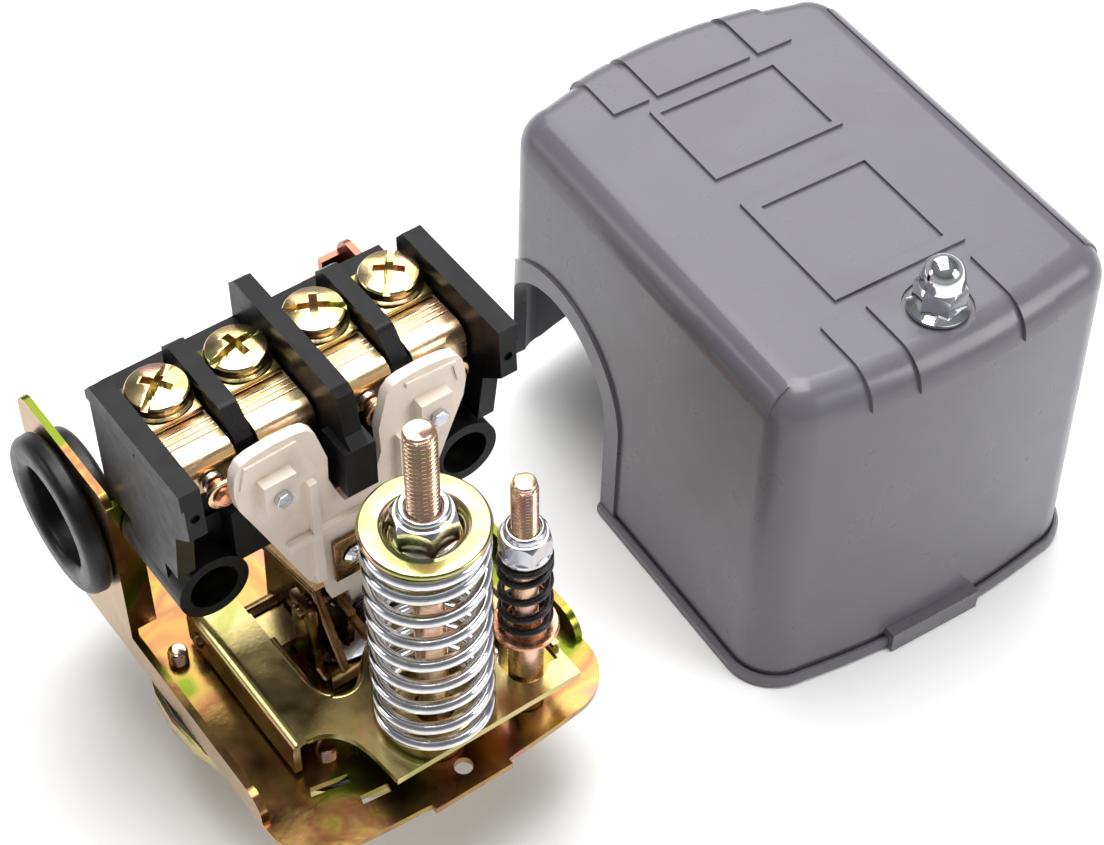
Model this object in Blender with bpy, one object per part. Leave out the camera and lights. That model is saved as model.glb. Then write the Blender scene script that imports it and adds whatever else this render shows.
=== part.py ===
"""Pressure switch with its cover off: mechanism on its port boss, cover standing beside it.

X runs along the terminal row, +Y runs from the springs to the terminals, +Z is up.
Every length below is in millimetres; vertices are scaled to metres when a mesh is made.
"""
import math

import bmesh
import bpy
from mathutils import Matrix, Vector

MM = 0.001
GAP = 0.3
FULL_TURN = 2 * math.pi
CORNER_STEPS = 4
EDGE_STEPS = 6

# Heights: the port boss stands on Z = 0 and most pieces are placed from the base sheet's top face
BASE_TOP = 29.0
SHEET = 1.5

# Base frame
BASE_HALF_WIDTH = 35.7
BASE_FRONT_Y = -33.0
BASE_BOW = 1.4
BASE_CORNER = 11.0
BASE_REAR_Y = 60.0
TAB_HALF_WIDTH = 8.5
TAB_DEPTH = 1.2
LIP_HEIGHT = 5.5
LIP_FRONT_Y = -20.0
END_PLATE_FRONT_Y = 26.0
END_PLATE_HEIGHT = 45.0
FRONT_FLANGE_REACH = 5.5
FRONT_FLANGE_TOP = 37.0
BLOCK_LUG_INNER_X = 20.5
REAR_FLANGE_REACH = 10.0
REAR_FLANGE_TOPS = (24.0, 41.0)
PIVOT_EAR_X = 20.8

# Pressure side
PORT_CENTRE_Y = 11.0
DIAPHRAGM_RADIUS = 36.3
DIAPHRAGM_THICKNESS = 1.2
FLANGE_RADIUS = 37.0
FLANGE_THICKNESS = 3.2
FLANGE_SCREWS = 5
FLANGE_SCREW_CIRCLE = 31.0
CHAMBER_RADIUS = 15.0
PORT_HEX_FLATS = 26.0
PORT_BORE_RADIUS = 6.0
PLUNGER_PAD_RADIUS = 10.5

# Main lever
LEVER_TOP = 10.0
LEVER_HALF_WIDTH = 25.5
LEVER_FRONT_Y = -32.0
LEVER_REAR_Y = 23.0
LEVER_WINDOW_HALF_WIDTH = 14.5
NOTCH_RADIUS = 3.9
LEVER_PIVOT_Y = 19.0
LEVER_PIVOT_Z = 4.6
LEVER_PIN_RADIUS = 1.5
RIB_DROP = 2.6

# Range spring assembly
RANGE_Y = -23.0
RANGE_STUD_RADIUS = 3.0
RANGE_STUD_TOP = 87.0
RANGE_SPRING_RADIUS = 11.3
RANGE_WIRE_RADIUS = 1.3
RANGE_SPRING_TURNS = 9.0
RANGE_CUP_RIM = 63.5
RANGE_CUP_RADIUS = 11.5
RANGE_NUT_FLATS = 10.0

# Differential spring assembly
DIFF_X = 19.0
DIFF_Y = -25.0
DIFF_STUD_RADIUS = 2.5
DIFF_STUD_TOP = 63.0
DIFF_SHOULDER_RADIUS = 3.3
DIFF_SEAT_Z = 22.6
DIFF_SPRING_TOP = 44.0
DIFF_SPRING_RADIUS = 5.1
DIFF_WIRE_RADIUS = 0.85
DIFF_SPRING_TURNS = 6.0
DIFF_NUT_FLATS = 8.0

# Contact carrier
CARRIER_PIVOT_Y = 4.0
CARRIER_PIVOT_Z = 19.0
CARRIER_FRONT_Y = -1.2
CARRIER_THICKNESS = 2.2
WING_CENTRE_X = 15.8
CONTACT_Z = 62.3
CONTACT_RADIUS = 2.0
BRIDGE_THICKNESS = 0.8
BRIDGE_HALF_HEIGHT = 2.9
RIVET_X = -2.2
RIVET_Z = 36.0

# Terminal block and terminals
TERMINAL_X = (-23.6, -7.9, 7.9, 23.6)
TERMINAL_Y = 22.9
BARRIER_X = (-31.5, -15.75, 0.0, 15.75, 31.5)
BARRIER_HALF_THICKNESS = 1.75
BARRIER_TOP = 73.0
STRAP_TOP = 67.0
STRAP_THICKNESS = 1.2
STRAP_HALF_WIDTH = 5.6
HEAD_RADIUS = 5.8
SLEEVE_X = 26.7
SLEEVE_Z = 36.8
SLEEVE_RADIUS = 7.0
SLEEVE_FRONT_Y = 5.0
SLEEVE_BACK_Y = 25.6

# Grommets
GROMMET_Y = 43.0
GROMMET_Z = 27.5
GROMMET_BORE = 10.2
GROMMET_HOLE = 13.9

# Cover, drawn where it sits when mounted, with heights measured up from its own rim
COVER_HALF_WIDTH = 40.5
COVER_FRONT_Y = -32.6
COVER_REAR_Y = 68.4
COVER_FRONT_BOW = 2.6
COVER_REAR_BOW = 4.4
COVER_CORNER = 10.0
COVER_HEIGHT = 82.5
COVER_WALL = 1.6
COVER_DRAFT = 1.6
COVER_FILLET = 7.5
FILLET_STEPS = 4
RIM_REACH = 1.4
RIM_HEIGHT = 3.2
RIM_TAB_HALF_WIDTH = 11.0
RIM_TAB_HEIGHT = 5.2
ARCH_Y = 45.2
ARCH_Z = 26.6
ARCH_RADIUS = 19.6
COVER_CENTRE_Y = 14.6
COVER_PARK_X = 112.2
COVER_PARK_Y = 8.6
COVER_YAW = math.radians(-3.5)
RELIEF = 0.7
FRAME_HALF_WIDTH = 15.3
FRAMES = ((38.4, 11.6, 2.2), (3.5, 15.3, 3.6))
PADS = ((-17.5, 4.2), (0.0, 11.3), (17.5, 4.2))
PAD_ROWS = ((-26.6, -15.9), (53.0, 60.6))
REAR_WALL_FOOT = 12.0
CAP_NUT_FLATS = 9.0


def material(name, colour, metallic, roughness):
    made = bpy.data.materials.new(name)
    made.use_nodes = True
    shader = made.node_tree.nodes["Principled BSDF"]
    shader.inputs["Base Color"].default_value = (*colour, 1.0)
    shader.inputs["Metallic"].default_value = metallic
    shader.inputs["Roughness"].default_value = roughness
    return made


def linked_mesh(name, solids, owner):
    """One object from solids, each a (points in millimetres, faces) pair."""
    mesh = bpy.data.meshes.new(name)
    shape = bmesh.new()
    for points, faces in solids:
        made = [shape.verts.new(Vector(point) * MM) for point in points]
        for face in faces:
            shape.faces.new([made[index] for index in face])
    bmesh.ops.recalc_face_normals(shape, faces=shape.faces)
    shape.to_mesh(mesh)
    shape.free()
    made = bpy.data.objects.new(name, mesh)
    owner.objects.link(made)
    return made


def sub_part(name, colour, solids, smooth=False):
    made = linked_mesh(name, solids, parts)
    metallic, roughness, tint = FINISHES[colour]
    made.data.materials.append(material(name + "_" + colour, tint, metallic, roughness))
    if smooth:
        for face in made.data.polygons:
            face.use_smooth = True
    return made


def combine(target, name, solids, operation):
    """Add or remove solids with an exact Boolean; the operand stays in the cutter collection."""
    operand = linked_mesh(name, solids, cutters)
    operand.hide_render = True
    operand.display_type = "WIRE"
    step = target.modifiers.new(name, "BOOLEAN")
    step.operation = operation
    step.solver = "EXACT"
    step.object = operand


def cut(target, name, *solids):
    combine(target, name, solids, "DIFFERENCE")


def join(target, name, *solids):
    for number, solid in enumerate(solids):
        combine(target, f"{name}_{number + 1}", [solid], "UNION")


def prism(outline, low, high, axis="Z"):
    """Extrude an outline along an axis: XY outlines along Z, XZ along Y, YZ along X."""
    place = {"Z": lambda a, b, h: (a, b, h), "Y": lambda a, b, h: (a, h, b), "X": lambda a, b, h: (h, a, b)}
    count = len(outline)
    points = [place[axis](a, b, height) for height in (low, high) for a, b in outline]
    faces = [list(range(count)), list(range(count, 2 * count))]
    for index in range(count):
        after = (index + 1) % count
        faces.append([index, after, count + after, count + index])
    return points, faces


def box(x_low, x_high, y_low, y_high, z_low, z_high):
    outline = [(x_low, y_low), (x_high, y_low), (x_high, y_high), (x_low, y_high)]
    return prism(outline, z_low, z_high)


def circle(centre_a, centre_b, radius, steps=24, start=0.0):
    angles = [start + FULL_TURN * step / steps for step in range(steps)]
    return [(centre_a + radius * math.cos(a), centre_b + radius * math.sin(a)) for a in angles]


def hexagon(centre_a, centre_b, flats):
    return circle(centre_a, centre_b, flats / math.sqrt(3), 6, math.radians(10))


def rod(centre_a, centre_b, radius, low, high, axis="Z", steps=24):
    return prism(circle(centre_a, centre_b, radius, steps), low, high, axis)


def turned(profile, centre, axis="Z", steps=16):
    """Spin a closed (radius, height) outline about an axis through the centre point."""
    place = {"Z": lambda c, s, h: (c, s, h), "Y": lambda c, s, h: (c, h, s), "X": lambda c, s, h: (h, c, s)}
    points = []
    rings = []
    for radius, height in profile:
        around = 1 if radius == 0 else steps
        rings.append([len(points) + step for step in range(around)])
        for step in range(around):
            angle = FULL_TURN * step / steps
            offset = place[axis](radius * math.cos(angle), radius * math.sin(angle), height)
            points.append(tuple(base + extra for base, extra in zip(centre, offset)))
    faces = []
    for index, ring in enumerate(rings):
        other = rings[(index + 1) % len(rings)]
        if len(ring) == 1 and len(other) == 1:
            continue
        for step in range(steps):
            after = (step + 1) % steps
            corners = [ring[step % len(ring)], ring[after % len(ring)]]
            corners += [other[after % len(other)], other[step % len(other)]]
            faces.append(list(dict.fromkeys(corners)))
    return points, faces


def coil(centre, radius, wire, low, high, turns, axis="Z", per_turn=14, sides=6):
    """Compression spring with one closed turn at each end, ends capped flat."""
    place = {"Z": lambda a, b, h: (a, b, h), "Y": lambda a, b, h: (a, h, b)}
    count = int(turns * per_turn)
    closed_pitch = 2 * wire + 0.25
    free_pitch = (high - low - 2 * wire - 2 * closed_pitch) / (turns - 2)
    points = []
    for step in range(count + 1):
        turn = turns * step / count
        rise = closed_pitch * min(turn, 1) + free_pitch * min(max(turn - 1, 0), turns - 2)
        rise += closed_pitch * max(turn - (turns - 1), 0)
        angle = FULL_TURN * turn
        for side in range(sides):
            around = FULL_TURN * side / sides
            reach = radius - wire + wire * math.cos(around)
            height = low + wire + rise + wire * math.sin(around)
            offset = place[axis](reach * math.cos(angle), reach * math.sin(angle), height)
            points.append(tuple(base + extra for base, extra in zip(centre, offset)))
    faces = [list(range(sides)), list(range(count * sides, (count + 1) * sides))]
    for step in range(count):
        for side in range(sides):
            after = (side + 1) % sides
            near = step * sides
            far = near + sides
            faces.append([near + side, near + after, far + after, far + side])
    return points, faces


def raised(solid, height=BASE_TOP):
    points, faces = solid
    return [(x, y, z + height) for x, y, z in points], faces


def raised_all(*solids):
    return [raised(solid) for solid in solids]


def rounded_outline(half_width, front, rear, corner, front_bow, rear_bow):
    """Anticlockwise plan outline with bowed front and rear edges and rounded corners."""
    straight = half_width - corner
    outline = []
    for edge, direction, bow in ((front, -1, front_bow), (rear, 1, rear_bow)):
        arc = [math.pi / 2 * step / CORNER_STEPS for step in range(CORNER_STEPS + 1)]
        bend = [(straight + corner * math.cos(a), edge - direction * corner * (1 - math.sin(a))) for a in arc]
        outline += [(direction * x, y) for x, y in bend]
        for step in range(1, EDGE_STEPS):
            across = 1 - 2 * step / EDGE_STEPS
            outline.append((direction * straight * across, edge + direction * bow * (1 - across ** 2)))
        outline += [(-direction * x, y) for x, y in reversed(bend)]
    return outline


def lofted(rings):
    """Closed solid through rings of equal length, capped at both ends."""
    count = len(rings[0])
    points = [point for ring in rings for point in ring]
    last = (len(rings) - 1) * count
    faces = [list(range(count)), list(range(last, last + count))]
    for level in range(len(rings) - 1):
        for index in range(count):
            after = (index + 1) % count
            low = level * count
            faces.append([low + index, low + after, low + count + after, low + count + index])
    return points, faces


def clear_scene():
    for old in list(bpy.data.objects):
        bpy.data.objects.remove(old, do_unlink=True)


def collection(name):
    made = bpy.data.collections.new(name)
    bpy.context.scene.collection.children.link(made)
    return made


FINISHES = {
    "yellow_zinc": (1.0, 0.32, (0.72, 0.62, 0.32)),
    "dark_yellow_zinc": (1.0, 0.38, (0.45, 0.32, 0.14)),
    "blue_zinc": (1.0, 0.25, (0.66, 0.69, 0.72)),
    "spring_steel": (1.0, 0.2, (0.8, 0.81, 0.83)),
    "black_steel": (0.6, 0.4, (0.03, 0.03, 0.035)),
    "copper": (1.0, 0.3, (0.75, 0.4, 0.25)),
    "brass": (1.0, 0.3, (0.8, 0.62, 0.33)),
    "silver": (1.0, 0.2, (0.88, 0.87, 0.85)),
    "chrome": (1.0, 0.08, (0.8, 0.82, 0.84)),
    "black_moulding": (0.0, 0.45, (0.02, 0.02, 0.022)),
    "beige_moulding": (0.0, 0.5, (0.72, 0.62, 0.5)),
    "grey_moulding": (0.0, 0.38, (0.18, 0.17, 0.19)),
    "rubber": (0.0, 0.6, (0.015, 0.015, 0.016)),
}

clear_scene()
parts = collection("pressure_switch")
cutters = collection("cutters")


# Base frame: pressed sheet with end plates, lips, lugs and pivot ears

def base_outline():
    """Bowed front with its centre tab, straight sides and rear."""
    full = rounded_outline(BASE_HALF_WIDTH, BASE_FRONT_Y, BASE_REAR_Y, BASE_CORNER, BASE_BOW, BASE_BOW)
    front = [point for point in full if point[1] < 0 and abs(point[0]) > TAB_HALF_WIDTH + 0.5]
    left = [point for point in front if point[0] < 0]
    right = [point for point in front if point[0] > 0]
    step_y = BASE_FRONT_Y - BASE_BOW
    tab = [(-TAB_HALF_WIDTH, step_y), (-TAB_HALF_WIDTH, step_y - TAB_DEPTH)]
    tab += [(TAB_HALF_WIDTH, step_y - TAB_DEPTH), (TAB_HALF_WIDTH, step_y)]
    rear = [(BASE_HALF_WIDTH, BASE_REAR_Y), (-BASE_HALF_WIDTH, BASE_REAR_Y)]
    return left + tab + right + rear


base = sub_part("base_frame", "yellow_zinc", raised_all(prism(base_outline(), -SHEET, 0.0)))
for side, label, rear_flange_top in ((-1, "left", REAR_FLANGE_TOPS[0]), (1, "right", REAR_FLANGE_TOPS[1])):
    outer = side * BASE_HALF_WIDTH
    inner = side * (BASE_HALF_WIDTH - SHEET)
    low_x, high_x = min(outer, inner), max(outer, inner)
    reach = side * (BASE_HALF_WIDTH - FRONT_FLANGE_REACH)
    lug = side * BLOCK_LUG_INNER_X
    rear_reach = side * (BASE_HALF_WIDTH - REAR_FLANGE_REACH)
    plate = box(low_x, high_x, END_PLATE_FRONT_Y, BASE_REAR_Y, -SHEET, END_PLATE_HEIGHT)
    lip = box(low_x, high_x, LIP_FRONT_Y, END_PLATE_FRONT_Y + SHEET, -SHEET, LIP_HEIGHT)
    front_flange = box(min(reach, outer), max(reach, outer), END_PLATE_FRONT_Y,
                       END_PLATE_FRONT_Y + SHEET, LIP_HEIGHT + 2, FRONT_FLANGE_TOP)
    block_lug = box(min(lug, outer), max(lug, outer), END_PLATE_FRONT_Y,
                    END_PLATE_FRONT_Y + SHEET, SLEEVE_Z - 6.5, SLEEVE_Z + 6.5)
    rear_flange = box(min(rear_reach, outer), max(rear_reach, outer), BASE_REAR_Y - SHEET,
                      BASE_REAR_Y, -SHEET, rear_flange_top)
    ear_x = side * PIVOT_EAR_X
    ear = box(min(ear_x, ear_x + side * SHEET), max(ear_x, ear_x + side * SHEET),
              LEVER_PIVOT_Y - 4, LEVER_PIVOT_Y + 4, -SHEET, LEVER_PIVOT_Z + 3)
    join(base, "base_" + label, *raised_all(plate, lip, front_flange, block_lug, rear_flange, ear))

screw_spots = []
for number in range(FLANGE_SCREWS):
    angle = math.pi / 2 + FULL_TURN * number / FLANGE_SCREWS
    screw_spots.append((FLANGE_SCREW_CIRCLE * math.cos(angle),
                        PORT_CENTRE_Y + FLANGE_SCREW_CIRCLE * math.sin(angle)))

base_holes = [rod(x, y, 2.3, -4, 2, steps=10) for x, y in screw_spots]
base_holes.append(rod(0, PORT_CENTRE_Y, PLUNGER_PAD_RADIUS + 0.5, -4, 2, steps=32))
base_holes.append(rod(0, RANGE_Y, 2.8, -4, 2, steps=16))
base_holes.append(rod(DIFF_X, DIFF_Y, 2.4, -4, 2, steps=16))
base_holes.append(rod(0.8, -30.8, 1.8, -4, 2, steps=16))
base_holes.append(prism([(-25.5, -20.2), (-18.0, -21.6), (-17.2, -19.8), (-24.7, -18.4)], -4, 2))
base_holes.append(prism([(-18.6, -27.0), (-13.0, -27.6), (-12.6, -25.8), (-18.2, -25.2)], -4, 2))
cut(base, "base_floor_holes", *raised_all(*base_holes))
plate_holes = [rod(GROMMET_Y, GROMMET_Z, GROMMET_HOLE, side * 38 - 5, side * 38 + 5, "X", 24)
               for side in (-1, 1)]
cut(base, "grommet_holes", *raised_all(*plate_holes))
pin_hole = rod(LEVER_PIVOT_Y, LEVER_PIVOT_Z, LEVER_PIN_RADIUS + GAP, -23.5, 23.5, "X", 16)
cut(base, "pivot_ear_holes", raised(pin_hole))
lug_holes = [rod(side * SLEEVE_X, SLEEVE_Z, 2.3, 24, 30, "Y", 16) for side in (-1, 1)]
cut(base, "block_lug_holes", *raised_all(*lug_holes))


# Pressure side: diaphragm, flange, port boss, plunger and flange screws

diaphragm_top = -SHEET - GAP
flange_top = diaphragm_top - DIAPHRAGM_THICKNESS - GAP
flange_low = flange_top - FLANGE_THICKNESS
centre = (0, PORT_CENTRE_Y, BASE_TOP)
diaphragm = sub_part("diaphragm", "rubber", raised_all(
    rod(0, PORT_CENTRE_Y, DIAPHRAGM_RADIUS, diaphragm_top - DIAPHRAGM_THICKNESS, diaphragm_top, steps=32)))
cut(diaphragm, "diaphragm_holes", *raised_all(*[rod(x, y, 2.3, -9, 2, steps=10) for x, y in screw_spots]))
spigot_radius = 9.0
flange = sub_part("diaphragm_flange", "yellow_zinc", [turned([
    (spigot_radius + GAP, flange_low), (FLANGE_RADIUS, flange_low), (FLANGE_RADIUS, flange_top),
    (CHAMBER_RADIUS, flange_top), (CHAMBER_RADIUS, flange_top - 1.2),
    (spigot_radius + GAP, flange_top - 1.2)], centre, "Z", 32)])
cut(flange, "flange_holes", *raised_all(*[rod(x, y, 2.3, -12, 2, steps=10) for x, y in screw_spots]))
connector = sub_part("pipe_connector", "blue_zinc", [
    prism(hexagon(0, PORT_CENTRE_Y, PORT_HEX_FLATS), 0.0, BASE_TOP + flange_low - GAP)])
join(connector, "connector_spigot", raised(rod(
    0, PORT_CENTRE_Y, spigot_radius, flange_low - 2, flange_top - 1.6, steps=32)))
cut(connector, "port_bore", rod(0, PORT_CENTRE_Y, PORT_BORE_RADIUS, -5, BASE_TOP, steps=32))
plunger_low = diaphragm_top + GAP
plunger_top = LEVER_TOP - SHEET - RIB_DROP - GAP
sub_part("diaphragm_plunger", "blue_zinc", [turned([
    (0, plunger_low), (PLUNGER_PAD_RADIUS, plunger_low), (PLUNGER_PAD_RADIUS, 0.6),
    (4.0, 1.6), (4.0, plunger_top), (0, plunger_top)], centre)])
for number, (x, y) in enumerate(screw_spots):
    head_top = flange_low - GAP
    sub_part(f"flange_screw_{number + 1}", "yellow_zinc", [turned([
        (0, head_top - 2.4), (2.8, head_top - 2.4), (3.8, head_top - 1.4), (3.8, head_top),
        (2.0, head_top), (2.0, 2.4), (1.5, 2.9), (0, 2.9)], (x, y, BASE_TOP), "Z", 10)])


# Main lever with its pivot pin, and the toggle lever it carries

notch_arc = [math.radians(-30 - 30 * step) for step in range(6)]
lever_notch = [(DIFF_X + NOTCH_RADIUS * math.cos(a), DIFF_Y + NOTCH_RADIUS * math.sin(a)) for a in notch_arc]
lever_outline = [(-LEVER_HALF_WIDTH, LEVER_REAR_Y), (-LEVER_HALF_WIDTH, -15.0), (-22.5, -15.4),
                 (-19.0, -16.0), (-16.6, -18.4), (-14.8, -22.5), (-14.0, LEVER_FRONT_Y),
                 (LEVER_HALF_WIDTH + 0.9, LEVER_FRONT_Y), (LEVER_HALF_WIDTH + 0.9, -21.5),
                 (LEVER_HALF_WIDTH - 0.6, -21.5), (LEVER_HALF_WIDTH - 0.6, DIFF_Y - NOTCH_RADIUS / 2)]
lever_outline += lever_notch
lever_outline += [(DIFF_X - NOTCH_RADIUS, -19.0), (18.0, -14.5), (LEVER_HALF_WIDTH, -10.0),
                  (LEVER_HALF_WIDTH, LEVER_REAR_Y), (LEVER_WINDOW_HALF_WIDTH, LEVER_REAR_Y),
                  (LEVER_WINDOW_HALF_WIDTH, -1.8), (3.0, -1.8), (-1.2, -3.4), (-4.5, -6.4),
                  (-7.2, -9.8), (-9.7, -11.4), (-13.0, -10.8), (-15.0, -8.6),
                  (-LEVER_WINDOW_HALF_WIDTH - 1.8, -4.0), (-LEVER_WINDOW_HALF_WIDTH - 1.8, LEVER_REAR_Y)]
lever = sub_part("main_lever", "yellow_zinc", raised_all(
    prism(lever_outline, LEVER_TOP - SHEET, LEVER_TOP)))
for side, label, front in ((-1, "left", -15.0), (1, "right", -10.0)):
    outer = side * LEVER_HALF_WIDTH
    inner = side * (LEVER_HALF_WIDTH - SHEET)
    flange_plate = box(min(outer, inner), max(outer, inner), front, LEVER_REAR_Y, 1.3, LEVER_TOP)
    join(lever, "lever_" + label, raised(flange_plate))
hook = box(LEVER_HALF_WIDTH - 0.4, LEVER_HALF_WIDTH + 0.9, -25.2, -21.5, LEVER_TOP - SHEET, LEVER_TOP + 1.8)
seat_ring = rod(0, RANGE_Y, 7.4, LEVER_TOP - SHEET, LEVER_TOP + 1.0, steps=28)
cross_rib = box(-LEVER_WINDOW_HALF_WIDTH - 3, LEVER_WINDOW_HALF_WIDTH + 2, 7.0, 15.0,
                LEVER_TOP - SHEET - RIB_DROP, LEVER_TOP - RIB_DROP)
rib_leg_left = box(-17.5, -16.0, 7.0, 15.0, LEVER_TOP - SHEET - RIB_DROP, LEVER_TOP)
rib_leg_right = box(15.0, 16.5, 7.0, 15.0, LEVER_TOP - SHEET - RIB_DROP, LEVER_TOP)
join(lever, "lever_detail", *raised_all(hook, seat_ring, cross_rib, rib_leg_left, rib_leg_right))
cut(lever, "lever_holes", *raised_all(
    rod(0, RANGE_Y, 3.9, 4, 14),
    rod(LEVER_PIVOT_Y, LEVER_PIVOT_Z, LEVER_PIN_RADIUS + GAP, -27, 27, "X", 16)))
sub_part("lever_pivot_pin", "blue_zinc", raised_all(
    rod(LEVER_PIVOT_Y, LEVER_PIVOT_Z, LEVER_PIN_RADIUS, -26.3, 26.3, "X", 16)))
toggle_left = [(22.0, 2.0), (21.0, 19.2), (2.5, 24.2), (-6.4, 9.6), (-4.6, 8.9), (6.2, 8.9), (15.6, 8.9),
               (15.6, 2.0)]
toggle_right = [(22.0, 2.0), (21.0, 18.0), (3.8, 22.4), (-4.3, 22.4), (-2.6, 11.4), (-0.8, 8.9), (15.6, 8.9),
                (15.6, 2.0)]
toggle = sub_part("toggle_lever", "dark_yellow_zinc", raised_all(prism(toggle_left, -8.7, -7.5, "X")))
join(toggle, "toggle_detail", *raised_all(
    prism(toggle_right, -5.3, -4.1, "X"),
    prism([(20.8, 18.0), (21.0, 19.2), (2.5, 24.2), (2.5, 22.6)], -8.1, -4.7, "X"),
    box(-8.1, -4.7, 20.9, 22.0, 2.0, 12.0),
    box(-5.3, -4.1, -8.9, -4.0, 19.2, 21.2), box(-5.3, 5.8, -8.9, -7.9, 19.2, 21.2)))
cut(toggle, "toggle_pin_holes", raised(rod(LEVER_PIVOT_Y, LEVER_PIVOT_Z, LEVER_PIN_RADIUS + GAP, -12, 0, "X", 16)))
cut(toggle, "toggle_clearance", raised(rod(CARRIER_PIVOT_Y, CARRIER_PIVOT_Z, 2.5, -12, 0, "X", 16)))
cut(toggle, "toggle_window", raised(rod(8.0, 9.0, 3.6, -10, -6.6, "X", 16)))


# Pivot bracket that holds the contact carrier, its pin and the toggle springs

bracket_pads = [box(side * 10.8 - 0.75, side * 10.8 + 0.75, -0.5, 6.6, GAP, CARRIER_PIVOT_Z + 3.5)
                for side in (-1, 1)]
bracket = sub_part("pivot_bracket", "yellow_zinc", raised_all(box(-11.55, 11.55, -3.6, -1.2, GAP, GAP + SHEET)))
join(bracket, "bracket_sides", *raised_all(
    *bracket_pads, box(-11.55, -10.05, -3.6, 0.5, GAP, 6.0), box(10.05, 11.55, -3.6, 0.5, GAP, 6.0)))
carrier_pin_hole = rod(CARRIER_PIVOT_Y, CARRIER_PIVOT_Z, 1.5 + GAP, -15, 15, "X", 16)
cut(bracket, "bracket_pin_holes", raised(carrier_pin_hole))
sub_part("carrier_pivot_pin", "blue_zinc", raised_all(
    rod(CARRIER_PIVOT_Y, CARRIER_PIVOT_Z, 1.5, -12.2, 12.2, "X", 16)))
for side, label in ((-1, "left"), (1, "right")):
    sub_part("toggle_spring_" + label, "black_steel", [coil(
        (1.3 + side * 2.6, 0, BASE_TOP + 20.2), 2.3, 0.45, -7.6, -1.5, 5.5, "Y", 10, 5)], True)


# Range spring assembly

sub_part("range_stud", "yellow_zinc", [turned([
    (0, -1.3), (2.5, -1.3), (2.5, GAP), (5.0, GAP), (5.0, 2.3), (RANGE_STUD_RADIUS, 2.3),
    (RANGE_STUD_RADIUS, RANGE_STUD_TOP - 0.7), (2.4, RANGE_STUD_TOP), (0, RANGE_STUD_TOP)],
    (0, RANGE_Y, BASE_TOP))])
cup_underside = RANGE_CUP_RIM - 1.2
cup_floor = cup_underside - 3.3
sub_part("range_spring", "spring_steel", [coil(
    (0, RANGE_Y, BASE_TOP), RANGE_SPRING_RADIUS, RANGE_WIRE_RADIUS, LEVER_TOP + GAP,
    cup_underside - GAP, RANGE_SPRING_TURNS, "Z", 12, 5)], True)
sub_part("range_spring_cup", "yellow_zinc", [turned([
    (3.5, cup_floor), (6.6, cup_floor), (7.6, cup_underside), (RANGE_CUP_RADIUS, cup_underside),
    (RANGE_CUP_RADIUS, RANGE_CUP_RIM), (7.0, RANGE_CUP_RIM), (5.9, cup_floor + 1.2),
    (3.5, cup_floor + 1.2)], (0, RANGE_Y, BASE_TOP), "Z", 24)])


def locknut(name, x, y, seat, flats, height, bore, collar):
    """Hexagon nut with a round seat flange and a raised insert collar."""
    nut = sub_part(name, "blue_zinc", raised_all(prism(hexagon(x, y, flats), seat + 0.6, seat + height)))
    join(nut, name + "_rounds", *raised_all(
        rod(x, y, flats * 0.56, seat, seat + 1.2, steps=16),
        rod(x, y, collar, seat + height - 0.5, seat + height + 1.6, steps=16)))
    cut(nut, name + "_bore", raised(rod(x, y, bore, seat - 1, seat + height + 3, steps=16)))


locknut("range_nut", 0, RANGE_Y, cup_floor + 1.2 + GAP, RANGE_NUT_FLATS, 6.0, RANGE_STUD_RADIUS + GAP, 4.6)


# Differential spring assembly

diff_centre = (DIFF_X, DIFF_Y, BASE_TOP)
sub_part("differential_stud", "yellow_zinc", [turned([
    (0, -1.3), (2.1, -1.3), (2.1, GAP), (DIFF_SHOULDER_RADIUS, GAP),
    (DIFF_SHOULDER_RADIUS, DIFF_SEAT_Z - GAP), (DIFF_STUD_RADIUS, DIFF_SEAT_Z - GAP),
    (DIFF_STUD_RADIUS, DIFF_STUD_TOP - 0.6), (2.0, DIFF_STUD_TOP), (0, DIFF_STUD_TOP)], diff_centre)])
sub_part("differential_spring_seat", "copper", [turned([
    (2.8, DIFF_SEAT_Z), (6.2, DIFF_SEAT_Z), (6.2, DIFF_SEAT_Z + 1.2), (2.8, DIFF_SEAT_Z + 1.2)], diff_centre)])
sub_part("differential_spring", "black_steel", [coil(
    diff_centre, DIFF_SPRING_RADIUS, DIFF_WIRE_RADIUS, DIFF_SEAT_Z + 1.2 + GAP, DIFF_SPRING_TOP,
    DIFF_SPRING_TURNS, "Z", 10, 5)], True)
locknut("differential_nut", DIFF_X, DIFF_Y, DIFF_SPRING_TOP + GAP, DIFF_NUT_FLATS, 5.2,
        DIFF_STUD_RADIUS + GAP, 3.7)


# Contact carrier, moving bridges, contacts and the riveted bracket

half_carrier = [(0, 25), (7.0, 25), (7.6, 31.0), (9.6, 31.2), (11.4, 33.6), (19.0, 52.0), (22.8, 61.0),
                (23.4, 66.0), (22.8, 70.4), (21.0, 72.2), (15.0, 73.0), (9.2, 72.6), (7.0, 70.8), (5.2, 63.0),
                (5.4, 57.4), (3.6, 52.0), (2.6, 49.8), (0, 49.8)]
carrier_outline = half_carrier + [(-x, z) for x, z in reversed(half_carrier[1:-1])]
carrier_back = CARRIER_FRONT_Y + CARRIER_THICKNESS
carrier = sub_part("contact_carrier", "beige_moulding", raised_all(
    prism(carrier_outline, CARRIER_FRONT_Y, carrier_back, "Y")))
bosses = [box(side * WING_CENTRE_X - 3.2, side * WING_CENTRE_X + 3.2, CARRIER_FRONT_Y - 2.4,
              CARRIER_FRONT_Y + 1, CONTACT_Z - 2.8, CONTACT_Z + 4.0) for side in (-1, 1)]
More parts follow.
